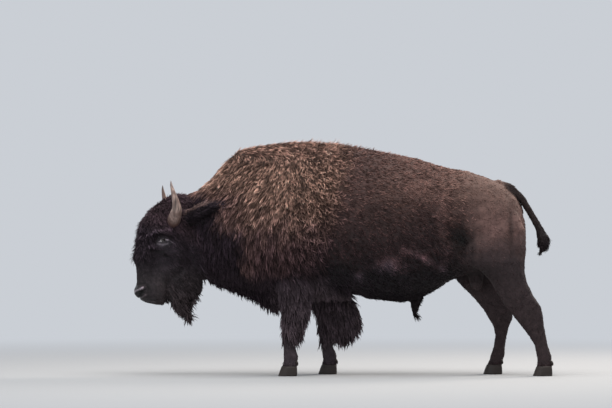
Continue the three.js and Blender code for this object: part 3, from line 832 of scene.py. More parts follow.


# Painted light and shade along lines on each side of the head, seen from the side: a line, its width,
# factor.
PAINTED_FACE_LINES = [
    ([(-1.505, 1.080), (-1.457, 1.108), (-1.397, 1.120), (-1.350, 1.134)], 0.011, 3.0),  # painted light on the brow ridge
    # painted shade under the brow
    ([(-1.475, 1.068), (-1.430, 1.085), (-1.380, 1.085), (-1.345, 1.065)], 0.012, 0.30),
    ([(-1.510, 0.995), (-1.460, 0.985), (-1.410, 0.972)], 0.009, 2.2),  # painted light on the fold under the eye
    # painted shadow under the fold
    ([(-1.494, 0.965), (-1.442, 0.950), (-1.397, 0.935), (-1.366, 0.905)], 0.015, 0.30),
    ([(-1.350, 1.060), (-1.320, 1.010), (-1.330, 0.960)], 0.016, 1.7),  # painted light on the ridge behind the eye
    ([(-1.400, 0.810), (-1.350, 0.825), (-1.290, 0.850)], 0.013, 2.0),  # painted light on the cheek
    ([(-1.612, 0.636), (-1.580, 0.652), (-1.545, 0.669)], 0.0070, 26.0),  # painted highlight over the nostril
    ([(-1.596, 0.596), (-1.560, 0.592), (-1.524, 0.614)], 0.006, 4.5),  # painted highlight under the nostril
    ([(-1.440, 1.002), (-1.400, 0.994), (-1.362, 1.002)], 0.007, 3.6),  # painted highlight on the lower lid
    ([(-1.435, 1.052), (-1.400, 1.062), (-1.362, 1.052)], 0.004, 2.2),  # painted highlight on the upper lid
    ([(-1.371, 1.031), (-1.362, 1.029)], 0.005, 16.0),  # painted glints at the corners of the eye
    ([(-1.426, 1.018), (-1.418, 1.021)], 0.004, 9.0),
    # painted shade in the crease behind the nostril
    ([(-1.570, 0.700), (-1.520, 0.705), (-1.500, 0.660)], 0.010, 0.45),
]
# Painted light and shade in patches of the head: centre, radii, factor.
PAINTED_FACE_PATCHES = [
    ((-1.150, -0.2, 1.170), (0.130, 0.3, 0.100), 0.40),  # painted shade under the ear
    # painted shade in the hollow before the cheek
    ((-1.500, -0.1, 0.850), (0.050, 0.3, 0.100), 0.70),
    ((-1.430, -0.1, 0.740), (0.060, 0.3, 0.080), 1.35),
    ((-1.240, -0.2, 0.930), (0.060, 0.3, 0.060), 0.70),
    ((-1.574, -0.052, 0.624), (0.031, 0.040, 0.022), 0.03),  # painted shade in the nostril
    ((-1.548, -0.068, 0.638), (0.022, 0.035, 0.016), 0.05),
]


def painted_face_light_and_tone(own):
    """Painted light and shade of the face, with the hair's random tone, as a factor."""
    place = mirrored(own)
    flat_place = place * [1, 0, 1]
    factor = 1 + 0.30 * wander(place, 0.10, 31) + 0.30 * wander(place * [1.0, 1.0, 0.4], 0.035, 32)
    # Painted light and shade along lines of the face.
    for line, width, gain in PAINTED_FACE_LINES:
        path = np.array([(x, 0.0, z) for x, z in line])
        far, _ = from_path(flat_place, path)
        factor *= 1 + (gain - 1) * np.exp(-((far / width) ** 2))
    # Painted light and shade in patches of the face.
    for centre, radii, gain in PAINTED_FACE_PATCHES:
        factor *= 1 + (gain - 1) * blob(place, centre, radii)
    return factor


def coat_colour(points):
    """The coat's colour at each point, its markings together with painted light and shade; skin and tufts
    both take their colour from it.
    """
    x, z = points[:, 0], points[:, 2]
    drift = 0.05 * wander(points, 0.30, 3)
    # Darker towards the belly and lighter towards the back: partly the coat's own colour, partly painted
    # shade underneath and painted light from above.
    body = mixed(FLANK, BACK, ramp(0.92, 1.52, z + drift))
    body = mixed(body, LOIN, ramp(1.22, 1.46, z + drift) * ramp(0.10, 0.55, x))
    rump = ramp(0.62, 1.10, x + 2 * drift)
    side = mixed(LEG, RUMP_SIDE, ramp(0.84, 1.20, z + drift))
    side = mixed(side, RUMP_TOP, ramp(1.14, 1.44, z))
    body = mixed(body, side, rump)
    body = mixed(body, BELLY, ramp(0.96, 0.76, z + drift) * (1 - ramp(0.80, 1.02, x)))
    # Painted light and shade on the body.
    for centre, radii, factor in PAINTED_LIGHT_AND_SHADE:
        body = body * (1 + (factor - 1) * blob(points, centre, radii, mirror=True))[:, None]
    crest = ramp(1.34, 1.44, z + drift) * ramp(-0.60, -0.90, x)
    front = mixed(DARK, CREST, crest)
    body = mixed(front, body, ramp(-0.50, -0.05, x + 0.10 * (z - 1.0) + drift))
    # The cape darkens downwards, partly its own colour and partly painted shade lower down.
    wool_colour = mixed(CAPE_LOW, CAPE, ramp(0.98, 1.42, z + 1.5 * drift))
    wool_colour = mixed(wool_colour, HUMP_TOP, ramp(1.58, 1.72, z))
    wool_colour = mixed(wool_colour, CAPE_NECK, ramp(-0.62, -0.86, x) * ramp(1.50, 1.34, z))
    patches = 1 + 0.32 * wander(points * [1.0, 1.0, 0.6], 0.17, 41) + 0.16 * wander(points, 0.07, 42)
    slope = blob(points, (-0.72, 0.0, 1.62), (0.14, 0.60, 0.10))
    wool_colour = wool_colour * (patches * (1 - 0.30 * slope))[:, None]
    body = mixed(body, wool_colour, cape_share(points))
    own = to_head(points)
    head = head_share(points)
    hair = mixed(HEAD_HAIR, MUZZLE_HAIR, ramp(0.90, 0.74, own[:, 2]))
    chin = ramp(0.80, 0.68, slanted(own, 0.5, -1.40)) * ramp(-1.48, -1.40, own[:, 0])
    hair = mixed(hair, BEARD_HAIR, chin)
    hair = mixed(hair, CROWN_HAIR, ramp(1.06, 1.20, slanted(own, 0.4, -1.40)))
    from_eye = mirrored(own) - EYE_CENTRE
    around = np.linalg.norm(from_eye * [0.75, 1, 1] + [0, 0, 0.004], axis=1)
    hair = mixed(hair, EYE_SKIN, ramp(0.052, 0.030, around))
    hair = mixed(hair, NOSE, ramp(-1.52, -1.57, own[:, 0]) * ramp(0.695, 0.665, own[:, 2]))
    # Painted light and shade of the face, with random tone.
    hair = hair * painted_face_light_and_tone(own)[:, None]
    body = mixed(body, hair, head)
    foreleg = ramp(0.80, 0.60, z) * ramp(0.25, 0.15, x) * (1 - head)
    body = mixed(body, DARK, foreleg)
    behind = x - np.interp(z, [0.56, 0.70], [0.20, -0.14])
    body = mixed(body, CHAPS, ramp(0.82, 0.66, z) * ramp(-0.62, -0.50, x) * ramp(0.05, -0.05, behind))
    # Painted highlights along the folds of skin.
    for (first, last, width), factor in PAINTED_HIGHLIGHT_LINES:
        far, _ = from_path(mirrored(points) * [1, 0, 1], np.array([first, last]))
        body = body * (1 + (factor - 1) * np.exp(-((far / width) ** 2)))[:, None]
    _, along = from_path(points, TAIL_PATH)
    tail_colour = mixed(TAIL_HAIR, TASSEL_HAIR, ramp(0.35, 0.75, along))
    body = mixed(body, tail_colour, on_tail(points))
    edge = on_ear(points) * ramp(0.012, 0.028, own[:, 2] - 1.222 - 0.43 * (own[:, 0] + 1.200))
    body = mixed(mixed(body, 0.8 * HEAD_HAIR, on_ear(points)), EAR_EDGE, edge)
    return body * (1 + 0.20 * wander(points, 0.12, 11) + 0.10 * wander(points, 0.04, 13))[:, None]


# ------------------------------------------------------------------ lie of the coat
EAR_AXIS = np.array([0.196, -0.125, 0.082])
# How far the cape's hair runs back for each length down, from front to rear.
CAPE_X = [-1.05, -0.62, -0.36, -0.12, 0.05]
CAPE_RUN_HIGH = [-0.60, -0.42, -0.02, 0.55, 1.0]
CAPE_RUN_LOW = [0.10, 0.02, 0.12, 0.40, 0.8]


def lie_of_coat(points):
    """Which way the hair runs, before it is laid along the skin."""
    x, z = points[:, 0], points[:, 2]
    side = np.sign(points[:, 1])
    down = np.interp(z, [0.5, 0.9, 1.3, 1.75], [-1.0, -0.9, -0.45, -0.12])
    run = vectors(1.0, 0.0, down)
    # The cape falls forward over the crest, straight down at the shoulder and back behind it.
    high = np.interp(x, CAPE_X, CAPE_RUN_HIGH)
    low = np.interp(x, CAPE_X, CAPE_RUN_LOW)
    share = ramp(1.02, 1.34, z)
    fall = vectors(low + (high - low) * share, 0.0, -1.0)
    ridge = vectors(0.9, 0.25 * side, -0.35)
    fall = mixed(fall, ridge, ramp(1.62, 1.72, z))
    cape = cape_share(points) + ramp(-0.35, -0.60, x)
    run = mixed(run, fall, np.clip(cape, 0, 1))
    run = mixed(run, np.array([0.15, 0.0, -1.0]), ramp(1.12, 1.34, x))
    run = mixed(run, np.array([0.16, 0.0, -1.0]), ramp(0.80, 0.62, z))
    belly = ramp(0.75, 0.60, z) * ramp(0.0, 0.2, x) * ramp(0.9, 0.75, x)
    run = mixed(run, np.array([0.9, 0.0, -0.6]), belly)
    _, along = from_path(points, TAIL_PATH)
    ends = np.clip((along * (len(TAIL_PATH) - 1)).astype(int), 0, len(TAIL_PATH) - 2)
    run = mixed(run, unit(TAIL_PATH[ends + 1] - TAIL_PATH[ends]) * 2, on_tail(points))
    own = to_head(points)
    face = vectors(np.interp(own[:, 0], [-1.60, -1.50, -1.30], [0.0, 0.35, 0.9]), 0.30 * side, -1.0)
    run = mixed(run, face @ HEAD_TURN.T, head_share(points))
    ear_run = vectors(EAR_AXIS[0], -EAR_AXIS[1] * side, EAR_AXIS[2])
    run = mixed(run, unit(ear_run) @ HEAD_TURN.T * 2, on_ear(points))
    swirl = vectors(*(wander(points, 0.11, seed) for seed in (21, 22, 23)))
    return unit(run) + (0.12 + 0.14 * ramp(1.15, 1.45, z))[:, None] * swirl


# ------------------------------------------------------------------ tufts
UV_PATCH = 0.003
TUFT_THICKNESS = 0.45  # as a share of a tuft's width
MOST_TRIANGLES = 190000  # in one piece of the coat


class Hide:
    """The skin as triangles, to plant tufts on."""

    def __init__(self, mesh):
        mesh.calc_loop_triangles()
        count = len(mesh.loop_triangles)
        loops = np.empty(count * 3, np.int64)
        corners = np.empty(count * 3, np.int64)
        mesh.loop_triangles.foreach_get("loops", loops)
        mesh.loop_triangles.foreach_get("vertices", corners)
        uv = np.empty(len(mesh.loops) * 2, np.float32)
        mesh.uv_layers["OFBake"].data.foreach_get("uv", uv)
        self.points = points_of(mesh)
        self.normals = unit(relax(normals_of(mesh), edges_of(mesh), 3, 0.5))
        self.corners = corners.reshape(-1, 3)
        self.uv = uv.reshape(-1, 2)[loops].reshape(-1, 3, 2)
        a, b, c = (self.points[self.corners[:, k]] for k in range(3))
        self.centres = (a + b + c) / 3
        self.areas = np.linalg.norm(np.cross(b - a, c - a), axis=1) / 2

    def plant(self, share, per_square_metre):
        """Roots over the hide, evenly spread and thinned by share."""
        weights = self.areas * share(self.centres)
        count = int(weights.sum() * per_square_metre)
        steps = (np.arange(count) + RANDOM.random(count)) * weights.sum() / max(count, 1)
        picks = np.minimum(np.searchsorted(np.cumsum(weights), steps), len(weights) - 1)
        first, second = RANDOM.random((2, count))
        flip = first + second > 1
        first, second = np.where(flip, 1 - first, first), np.where(flip, 1 - second, second)
        parts = np.stack([1 - first - second, first, second], axis=1)[:, :, None]
        corners = self.corners[picks]
        return {
            "place": (self.points[corners] * parts).sum(axis=1),
            "normal": unit((self.normals[corners] * parts).sum(axis=1)),
            "uv": (self.uv[picks] * parts).sum(axis=1),
        }


def tuft_faces(rings):
    """One tuft: a closed three-sided lock of a few rings and a tip."""
    faces = [(0, 2, 1)]
    for k in range(rings - 1):
        for j in range(3):
            low, side = 3 * k, (j + 1) % 3
            faces.append((low + j, low + side, low + 3 + side))
            faces.append((low + j, low + 3 + side, low + 3 + j))
    low = 3 * (rings - 1)
    faces += [(low + j, low + (j + 1) % 3, low + 3) for j in range(3)]
    return np.array(faces)


def clumps_of(places, share, seed):
    """The middle of each root's clump, and the clump's number."""
    rng = np.random.default_rng(seed)
    chosen = places[rng.random(len(places)) < share]
    tree = KDTree(len(chosen))
    for i, place in enumerate(chosen):
        tree.insert(Vector(place), i)
    tree.balance()
    near = np.array([tree.find(Vector(place))[1] for place in places])
    return chosen[near], near


def spread(low, high, count):
    return low + (high - low) * RANDOM.random(count)


def grow(name, share, per_square_metre, length, width, slot="dark_fur", rings=3, lift=0.35,
         hang=0.0, curl=0.0, turns=1.0, clump=0.0, clump_rate=0.1, roots_tone=0.5, tips=1.0,
         contrast=0.25, stray=0.12, sink=0.003, longer=None):
    """Plants one kind of tuft over the hide and joins it into meshes below the size limit.
    curl and stray are numbers, or functions of the roots. The name's length seeds the clumps."""
    roots = hide.plant(share, per_square_metre)
    place, normal = roots["place"], roots["normal"]
    count = len(place)
    lengths = spread(0.72, 1.28, count) * length
    if longer is not None:
        lengths = lengths * longer(place)
    widths = spread(0.75, 1.25, count) * width
    way = lie_of_coat(place)
    way = way - normal * (way * normal).sum(axis=1, keepdims=True)
    stray = stray(place)[:, None] if callable(stray) else stray
    way = unit(unit(way) + stray * RANDOM.normal(size=(count, 3)))
    start = unit(way + normal * (lift * spread(0.6, 1.5, count))[:, None])
    end = unit(way + normal * (0.25 * lift) + np.array([0.0, 0.0, -1.0]) * hang)
    middle_of, clump_number = clumps_of(place, clump_rate, len(name))
    pull = (middle_of - place) * clump
    side = unit(np.cross(normal, start))
    phase = RANDOM.random(count) * 2 * math.pi
    spin = spread(0.6, 1.4, count) * turns * np.where(RANDOM.random(count) < 0.5, -1, 1)
    stations = np.linspace(0, 1, rings + 1)
    centre = place - normal * sink
    curl_of = curl if callable(curl) else lambda points: np.full(len(points), curl)
    path = []
    for i, s in enumerate(stations):
        if i:
            middle = (s + stations[i - 1]) / 2
            step = unit(start * (1 - middle) + end * middle)
            centre = centre + step * (lengths / rings)[:, None]
        angle = phase + spin * s * 2 * math.pi
        coil = side * np.cos(angle)[:, None] + normal * np.sin(angle)[:, None]
        path.append(centre + coil * (curl_of(place)[:, None] * s) + pull * s**1.3)
    vertices = np.empty((count, 3 * rings + 1, 3))
    for i in range(rings):
        forward = unit(path[i + 1] - path[max(i - 1, 0)])
        across = unit(np.cross(normal, forward))
        up = np.cross(forward, across)
        s = stations[i]
        girth = widths * np.interp(s, [0.0, 0.3, 0.65, 1.0], [0.75, 1.0, 0.72, 0.2])
        half, thick = (girth / 2)[:, None], (girth * TUFT_THICKNESS)[:, None]
        vertices[:, 3 * i] = path[i] + up * thick * 0.6
        vertices[:, 3 * i + 1] = path[i] - across * half - up * thick * 0.4
        vertices[:, 3 * i + 2] = path[i] + across * half - up * thick * 0.4
    vertices[:, -1] = path[-1]
    along = np.append(np.repeat(stations[:rings], 3), 1.0)
    luck = 0.8 * RANDOM.normal(size=clump_number.max() + 1)[clump_number]
    luck = luck + 0.6 * RANDOM.normal(size=count)
    shade = np.exp(contrast * luck.clip(-1.6, 1.4))
    # Each tuft is darker at the root, partly painted shade deep in the coat, and lighter towards the tip.
    tone = roots_tone + (tips - roots_tone) * along[None, :] ** 1.3
    colours = coat_colour(place)[:, None, :] * (shade[:, None] * tone)[:, :, None]
    save_tufts(name, slot, vertices, tuft_faces(rings), roots["uv"], colours, along)


def save_tufts(name, slot, vertices, faces, uv, colours, along):
    """Joins tufts into pieces, each tuft with its own patch of the unwrap at its root's place."""
    per_tuft = vertices.shape[1]
    most = MOST_TRIANGLES // len(faces)
    patch_u = np.append(np.tile([0.5, 0.0, 1.0], (per_tuft - 1) // 3), 0.5) * UV_PATCH
    patch_v = along * UV_PATCH
    groups = max(1, math.ceil(len(vertices) / most))
    for group, part in enumerate(np.array_split(np.arange(len(vertices)), groups)):
        count = len(part)
        mesh = bpy.data.meshes.new(f"{name}_{group + 1}")
        corners = (faces[None] + (np.arange(count) * per_tuft)[:, None, None]).reshape(-1, 3)
        mesh.vertices.add(count * per_tuft)
        mesh.loops.add(len(corners) * 3)
        mesh.polygons.add(len(corners))
        mesh.vertices.foreach_set("co", vertices[part].astype(np.float32).ravel())
        mesh.loops.foreach_set("vertex_index", corners.ravel().astype(np.int32))
        mesh.polygons.foreach_set("loop_start", np.arange(0, len(corners) * 3, 3, dtype=np.int32))
        mesh.polygons.foreach_set("use_smooth", np.ones(len(corners), bool))
        layer = mesh.uv_layers.new(name="OFBake")
        own = np.stack([patch_u, patch_v], axis=1)[None] + uv[part][:, None] - UV_PATCH / 2
        own = np.clip(own.reshape(-1, 2)[corners.ravel()], 0.0, 1.0)
        layer.data.foreach_set("uv", own.astype(np.float32).ravel())
        paint(mesh, colours[part].reshape(-1, 3))
        mesh.update(calc_edges=True)
        finished(new_object(mesh.name, mesh), slot, fur)


# ------------------------------------------------------------------ materials
class Nodes:
    """Short calls for building one material's nodes."""

    def __init__(self, name):
        self.material = bpy.data.materials.new(name)
        self.material.use_nodes = True
        self.tree = self.material.node_tree
        self.shader = self.tree.nodes["Principled BSDF"]

    def set(self, **values):
        for key, value in values.items():
            self.shader.inputs[key.replace("_", " ")].default_value = value

    def add(self, kind, **fields):
        node = self.tree.nodes.new(kind)
        for key, value in fields.items():
            setattr(node, key, value)
        return node

    def link(self, source, target):
        self.tree.links.new(source, target)

    def attribute(self, name, output="Fac"):
        return self.add("ShaderNodeAttribute", attribute_name=name).outputs[output]

    def place(self, stretch=(1.0, 1.0, 1.0)):
        coordinates = self.add("ShaderNodeTexCoord")
        mapping = self.add("ShaderNodeMapping")
        mapping.inputs["Scale"].default_value = stretch
        self.link(coordinates.outputs["Object"], mapping.inputs["Vector"])
        return mapping.outputs["Vector"]

    def noise(self, place, scale, detail=4.0, roughness=0.55):
        node = self.add("ShaderNodeTexNoise")
        node.inputs["Scale"].default_value = scale
        node.inputs["Detail"].default_value = detail
        node.inputs["Roughness"].default_value = roughness
        self.link(place, node.inputs["Vector"])
        return node.outputs["Fac"]

    def span(self, value, low, high, to_low, to_high):
        node = self.add("ShaderNodeMapRange")
        amounts = {"From Min": low, "From Max": high, "To Min": to_low, "To Max": to_high}
        for key, amount in amounts.items():
            node.inputs[key].default_value = amount
        self.link(value, node.inputs["Value"])
        return node.outputs["Result"]

    def mix(self, share, first, second):
        node = self.add("ShaderNodeMix", data_type="RGBA")
        self.link(share, node.inputs[0])
        for socket, colour in ((node.inputs[6], first), (node.inputs[7], second)):
            if isinstance(colour, tuple):
                socket.default_value = (*colour, 1.0)
            else:
                self.link(colour, socket)
        return node.outputs[2]

    def math(self, operation, first, second):
        node = self.add("ShaderNodeMath", operation=operation)
        for socket, value in ((node.inputs[0], first), (node.inputs[1], second)):
            if isinstance(value, float):
                socket.default_value = value
            else:
                self.link(value, socket)
        return node.outputs[0]

    def scaled(self, colour, factor):
        node = self.add("ShaderNodeVectorMath", operation="SCALE")
        self.link(colour, node.inputs[0])
        self.link(factor, node.inputs["Scale"])
        return node.outputs["Vector"]

    def colour(self, source):
        self.link(source, self.shader.inputs["Base Color"])

    def rough(self, source):
        self.link(source, self.shader.inputs["Roughness"])

    def bump(self, height, distance, strength=1.0):
        node = self.add("ShaderNodeBump")
        node.inputs["Distance"].default_value = distance
        node.inputs["Strength"].default_value = strength
        self.link(height, node.inputs["Height"])
        self.link(node.outputs["Normal"], self.shader.inputs["Normal"])


def hair_material():
    m = Nodes("coat_hair")
    m.set(Specular_IOR_Level=0.10, Sheen_Weight=0.03, Sheen_Roughness=0.40,
          Sheen_Tint=(0.80, 0.62, 0.55, 1.0))
    place = m.place()
    fine = m.span(m.noise(place, 55.0), 0.3, 0.7, 0.76, 1.24)
    m.colour(m.scaled(m.attribute("coat", "Color"), fine))
    m.rough(m.span(m.noise(place, 30.0), 0.3, 0.7, 0.58, 0.80))
    return m.material


def skin_material():
    """Short hair over the whole skin, bare damp leather on the nose and lips."""
    m = Nodes("skin_short_hair")
    m.set(Specular_IOR_Level=0.30)
    streaks = m.noise(m.place((1.0, 1.0, 0.16)), 520.0, 3.0)
    broad = m.noise(m.place(), 26.0)
    fur = m.scaled(m.attribute("coat", "Color"), m.span(streaks, 0.3, 0.7, 0.60, 1.45))
    fur = m.scaled(fur, m.span(broad, 0.3, 0.7, 0.75, 1.25))
    bare = m.attribute("bare")
    pores = m.noise(m.place(), 330.0, 2.0)
    pad = m.scaled(m.attribute("coat", "Color"), m.span(pores, 0.3, 0.7, 0.6, 1.4))
    m.colour(m.mix(bare, fur, pad))
    m.rough(m.math("MULTIPLY", m.span(bare, 0.0, 1.0, 0.85, 0.30), m.span(pores, 0.3, 0.7, 0.9, 1.1)))
    height = m.math("ADD", m.math("MULTIPLY", streaks, m.span(bare, 0.0, 1.0, 1.0, 0.0)),
                    m.math("MULTIPLY", pores, m.span(bare, 0.0, 1.0, 0.0, 1.0)))
    m.bump(height, 0.0025, 0.7)
    return m.material


def horn_material():
    m = Nodes("horn_keratin")
    m.set(Specular_IOR_Level=0.45)
    along = m.attribute("along")
    streaks = m.noise(m.place((1.0, 1.0, 0.12)), 90.0, 6.0)
    patches = m.noise(m.place(), 14.0)
    bands = m.noise(m.place((1.0, 1.0, 0.10)), 42.0, 2.0)
    light = m.mix(m.span(streaks, 0.35, 0.65, 0.0, 1.0), (0.100, 0.066, 0.056), (0.44, 0.315, 0.265))
    light = m.scaled(light, m.span(bands, 0.35, 0.65, 0.55, 1.30))
    worn = m.mix(m.span(patches, 0.45, 0.60, 0.0, 0.8), light, (0.150, 0.090, 0.074))
    rooted = m.mix(m.span(along, 0.20, 0.46, 0.0, 1.0), (0.085, 0.046, 0.038), worn)
    m.colour(m.mix(m.span(along, 0.84, 1.0, 0.0, 0.8), rooted, (0.060, 0.048, 0.045)))
    m.rough(m.span(streaks, 0.3, 0.7, 0.36, 0.60))
    m.bump(streaks, 0.0015, 0.8)
    return m.material


def hoof_material():
    m = Nodes("hoof_keratin")
    m.set(Specular_IOR_Level=0.35)
    bands = m.noise(m.place((0.5, 0.5, 5.0)), 26.0, 5.0)
    grain = m.noise(m.place((3.0, 3.0, 0.3)), 60.0, 3.0)
    colour = m.mix(bands, (0.010, 0.007, 0.006), (0.036, 0.026, 0.021))
    m.colour(m.mix(m.span(grain, 0.55, 0.75, 0.0, 0.5), colour, (0.070, 0.052, 0.042)))
    m.rough(m.span(grain, 0.3, 0.7, 0.42, 0.70))
    m.bump(m.math("ADD", bands, grain), 0.0012, 0.8)
    return m.material


IRIS_BACK = 0.13  # how far the iris sits behind the middle of the eye, in radii


def eye_material():
    """Dark brown iris and a level, long pupil under a wet surface."""
    m = Nodes("wet_eye")
    m.set(Roughness=0.05, Specular_IOR_Level=0.5, Coat_Weight=0.25, Coat_Roughness=0.02)
    level = m.attribute("level")
    rise = m.attribute("rise")
    iris_spokes = m.noise(m.place(), 420.0, 3.0)
    iris = m.mix(iris_spokes, (0.006, 0.003, 0.002), (0.034, 0.016, 0.008))
    back = m.math("ADD", level, IRIS_BACK)
    oval = m.math("ADD", m.math("POWER", m.math("MULTIPLY", back, 2.4), 2.0),
                  m.math("POWER", m.math("MULTIPLY", rise, 5.0), 2.0))
    off_iris = m.math("SQRT", m.math("ADD", m.math("MULTIPLY", back, back),
                                     m.math("MULTIPLY", rise, rise)), 0.0)
    pupil = m.mix(m.span(oval, 0.8, 1.2, 0.0, 1.0), (0.001, 0.001, 0.002), iris)
    # The white of the eye, kept very light partly as a painted glint at the corners.
    sclera_and_glint = m.mix(m.noise(m.place(), 150.0), (0.92, 0.89, 0.87), (0.74, 0.68, 0.66))
    m.colour(m.mix(m.span(off_iris, 0.58, 0.66, 1.0, 0.0), sclera_and_glint, pupil))
    return m.material


# ------------------------------------------------------------------ the skin's piece
def unwrap(piece):
    """An unwrap of the skin's own shape, which the coat's patches also use."""
    piece.data.uv_layers.new(name="OFBake")
    bpy.context.view_layer.objects.active = piece
    piece.select_set(True)
    bpy.ops.object.mode_set(mode="EDIT")
    bpy.ops.mesh.select_all(action="SELECT")
    bpy.ops.uv.smart_project(angle_limit=math.radians(66), island_margin=0.002)
    bpy.ops.object.mode_set(mode="OBJECT")
    piece.select_set(False)


def bare_share(points):
    """The nose pad, the nostrils and the lips have no hair."""
    own = to_head(points)
    place = mirrored(own)
    pad = blob(place, (-1.590, -0.020, 0.650), (0.045, 0.060, 0.050))
    lip = np.exp(-(((own[:, 2] - np.interp(own[:, 0], MOUTH_X, MOUTH_Z)) / 0.014) ** 2))
    lip = lip * ramp(-1.43, -1.46, own[:, 0])
    rim = 0.8 * ramp(0.036, 0.030, np.linalg.norm(place - EYE_CENTRE, axis=1))
    share = np.clip(ramp(0.35, 0.60, pad) + lip + rim, 0, 1)
    return share * (head_share(points) > 0.5)


unwrap(skin)
skin_points = points_of(skin_mesh)
under_coat_shade = 0.55 - 0.33 * cape_share(skin_points)  # the skin is darker than the hair over it, partly painted shade in the gaps between the tufts, most of all under the cape
paint(skin_mesh, coat_colour(skin_points) * under_coat_shade[:, None])
store(skin_mesh, "bare", bare_share(skin_points))
finished(skin, "dark_fur", skin_material(), *FLESH_NODES)

horn_finish, hoof_finish, eye_finish = horn_material(), hoof_material(), eye_material()
for node, side in zip(HORN_NODES, (-1, 1)):
    finished(make_horn(node + "_keratin", side), "horn", horn_finish, node)
for node, side in zip(EYE_NODES, (-1, 1)):
    finished(make_eye(node + "_ball", side), "eye", eye_finish, node)
for node in HOOF_NODES:
    finished(make_hoof(node), "hoof", hoof_finish, node)


# ------------------------------------------------------------------ the coat's pieces
fur = hair_material()
hide = Hide(skin_mesh)


def on_body(points):
    return (1 - head_share(points)) * (1 - on_ear(points))


def wool(points):
    return np.clip(cape_share(points) * 1.3, 0, 1) * on_body(points)


def foreleg_share(points):
    x, z = points[:, 0], points[:, 2]
    return ramp(0.72, 0.64, z) * (x < np.interp(z, [0.50, 0.62], [0.25, 0.04])) * (x > -0.62)


def chaps_share(points):
    return foreleg_share(points) * ramp(0.24, 0.34, points[:, 2])


def shank_share(points):
    return foreleg_share(points) * (1 - ramp(0.24, 0.34, points[:, 2])) * (points[:, 2] > 0.070)


def fetlock_share(points):
    """The longer hair over the top of each hoof."""
    return ramp(0.120, 0.095, points[:, 2]) * (points[:, 2] > 0.074)


def rear_half(points):
    return ramp(-0.30, -0.10, points[:, 0]) * (1 - cape_share(points)) * ramp(0.62, 0.70, points[:, 2])


def short_rump(points):
    return ramp(0.80, 1.02, points[:, 0])


def tassel_share(points):
    _, along = from_path(points, TAIL_PATH)
    return on_tail(points) * ramp(0.66, 0.76, along)


def barrel_share(points):
    return rear_half(points) * (1 - short_rump(points))


def rump_share(points):
    return short_rump(points) * ramp(0.50, 0.62, points[:, 2]) * (1 - on_tail(points))


def hind_leg_share(points):
    return short_rump(points) * ramp(0.62, 0.50, points[:, 2]) * (points[:, 2] > 0.070)


def belly_share(points):
    x, z = points[:, 0], points[:, 2]
    share = ramp(0.70, 0.62, z) * ramp(0.02, 0.10, x) * ramp(0.88, 0.80, x) * (1 - short_rump(points))
    return share * (1 - on_sheath(points))


def sheath_tip(points):
    _, along = from_path(points, SHEATH_PATH)
    return on_sheath(points) * ramp(0.60, 0.85, along)


def neck_share(points):
    x, z = points[:, 0], points[:, 2]
    share = (1 - cape_share(points)) * ramp(-0.10, -0.35, x) * (1 - foreleg_share(points))
    return on_body(points) * share * (z > 0.40) * ramp(0.40, 0.50, z - fringe_bottom(x) + 0.38)


FRINGE_X = [-1.12, -0.98, -0.83, -0.68, -0.58, -0.52, -0.44]
FRINGE_Z = [0.72, 0.69, 0.636, 0.58, 0.52, 0.492, 0.545]


def fringe_bottom(x):
    return np.interp(x, FRINGE_X, FRINGE_Z)


def fringe_share(points):
    x, z = points[:, 0], points[:, 2]
    near = ramp(0.30, 0.18, z - fringe_bottom(x)) * (x > -1.15) * (x < -0.38)
    return near * on_body(points) * (1 - foreleg_share(points))


def beard_share(points):
    own = to_head(points)
    share = ramp(0.76, 0.68, slanted(own, 0.5, -1.36)) * ramp(-1.375, -1.345, own[:, 0])
    return share * head_share(points)


def crown_share(points):
    own = to_head(points)
    share = ramp(1.02, 1.12, slanted(own, 0.4, -1.40))
    return share * head_share(points) * (1 - on_ear(points)) * (1 - eye_share(own))


def forehead_share(points):
    own = to_head(points)
    front = ramp(-1.46, -1.52, own[:, 0] + 0.5 * (own[:, 2] - 1.08) * (own[:, 2] > 1.08))
    return front * ramp(0.86, 0.94, own[:, 2]) * ramp(1.26, 1.20, own[:, 2]) * head_share(points)


def eye_share(own):
    """The bare surround of the eye, longer to the front."""
    off = (own - EYE_CENTRE) * [1, 0, 1]
    off[:, 0] *= np.where(off[:, 0] < 0, 0.80, 1.15)
    return ramp(0.060, 0.046, np.linalg.norm(off, axis=1))


def cheek_share(points):
    own = to_head(points)
    share = ramp(1.12, 1.02, slanted(own, 0.4, -1.40)) * ramp(-1.47, -1.40, own[:, 0])
    return share * head_share(points) * (1 - beard_share(points)) * (1 - eye_share(own))


def muzzle_share(points):
    own = to_head(points)
    share = ramp(1.12, 1.02, slanted(own, 0.4, -1.40)) * ramp(-1.40, -1.47, own[:, 0])
    return share * head_share(points) * (1 - bare_share(points)) * (1 - eye_share(own))


def longer_low(points):
    x, z = points[:, 0], points[:, 2]
    front = np.interp(z, [0.6, 0.95, 1.15, 1.45], [1.9, 1.75, 1.35, 0.90])
    rear = np.interp(z, [0.8, 1.2, 1.5], [1.2, 0.95, 0.85])
    return rear + (front - rear) * ramp(-0.30, -0.48, x)


def wool_curl(points):
    """Straighter strands in front, tight curls behind the shoulder."""
    return 0.004 + 0.007 * ramp(-0.52, -0.30, points[:, 0])


def wool_stray(points):
    return 0.10 + 0.22 * ramp(-0.52, -0.26, points[:, 0])


def barrel_stray(points):
    return 0.34 - 0.22 * ramp(0.20, 0.60, points[:, 0])


def beard_length(points):
    own = to_head(points)
    return 0.45 + 0.55 * ramp(-1.36, -1.29, own[:, 0])


def forehead_length(points):
    own = to_head(points)
    return np.interp(own[:, 2], [0.70, 0.84, 0.98, 1.10], [0.45, 0.75, 1.6, 2.6])


def cheek_length(points):
    own = to_head(points)
    return np.interp(own[:, 0], [-1.47, -1.36, -1.22], [0.45, 0.8, 1.35])


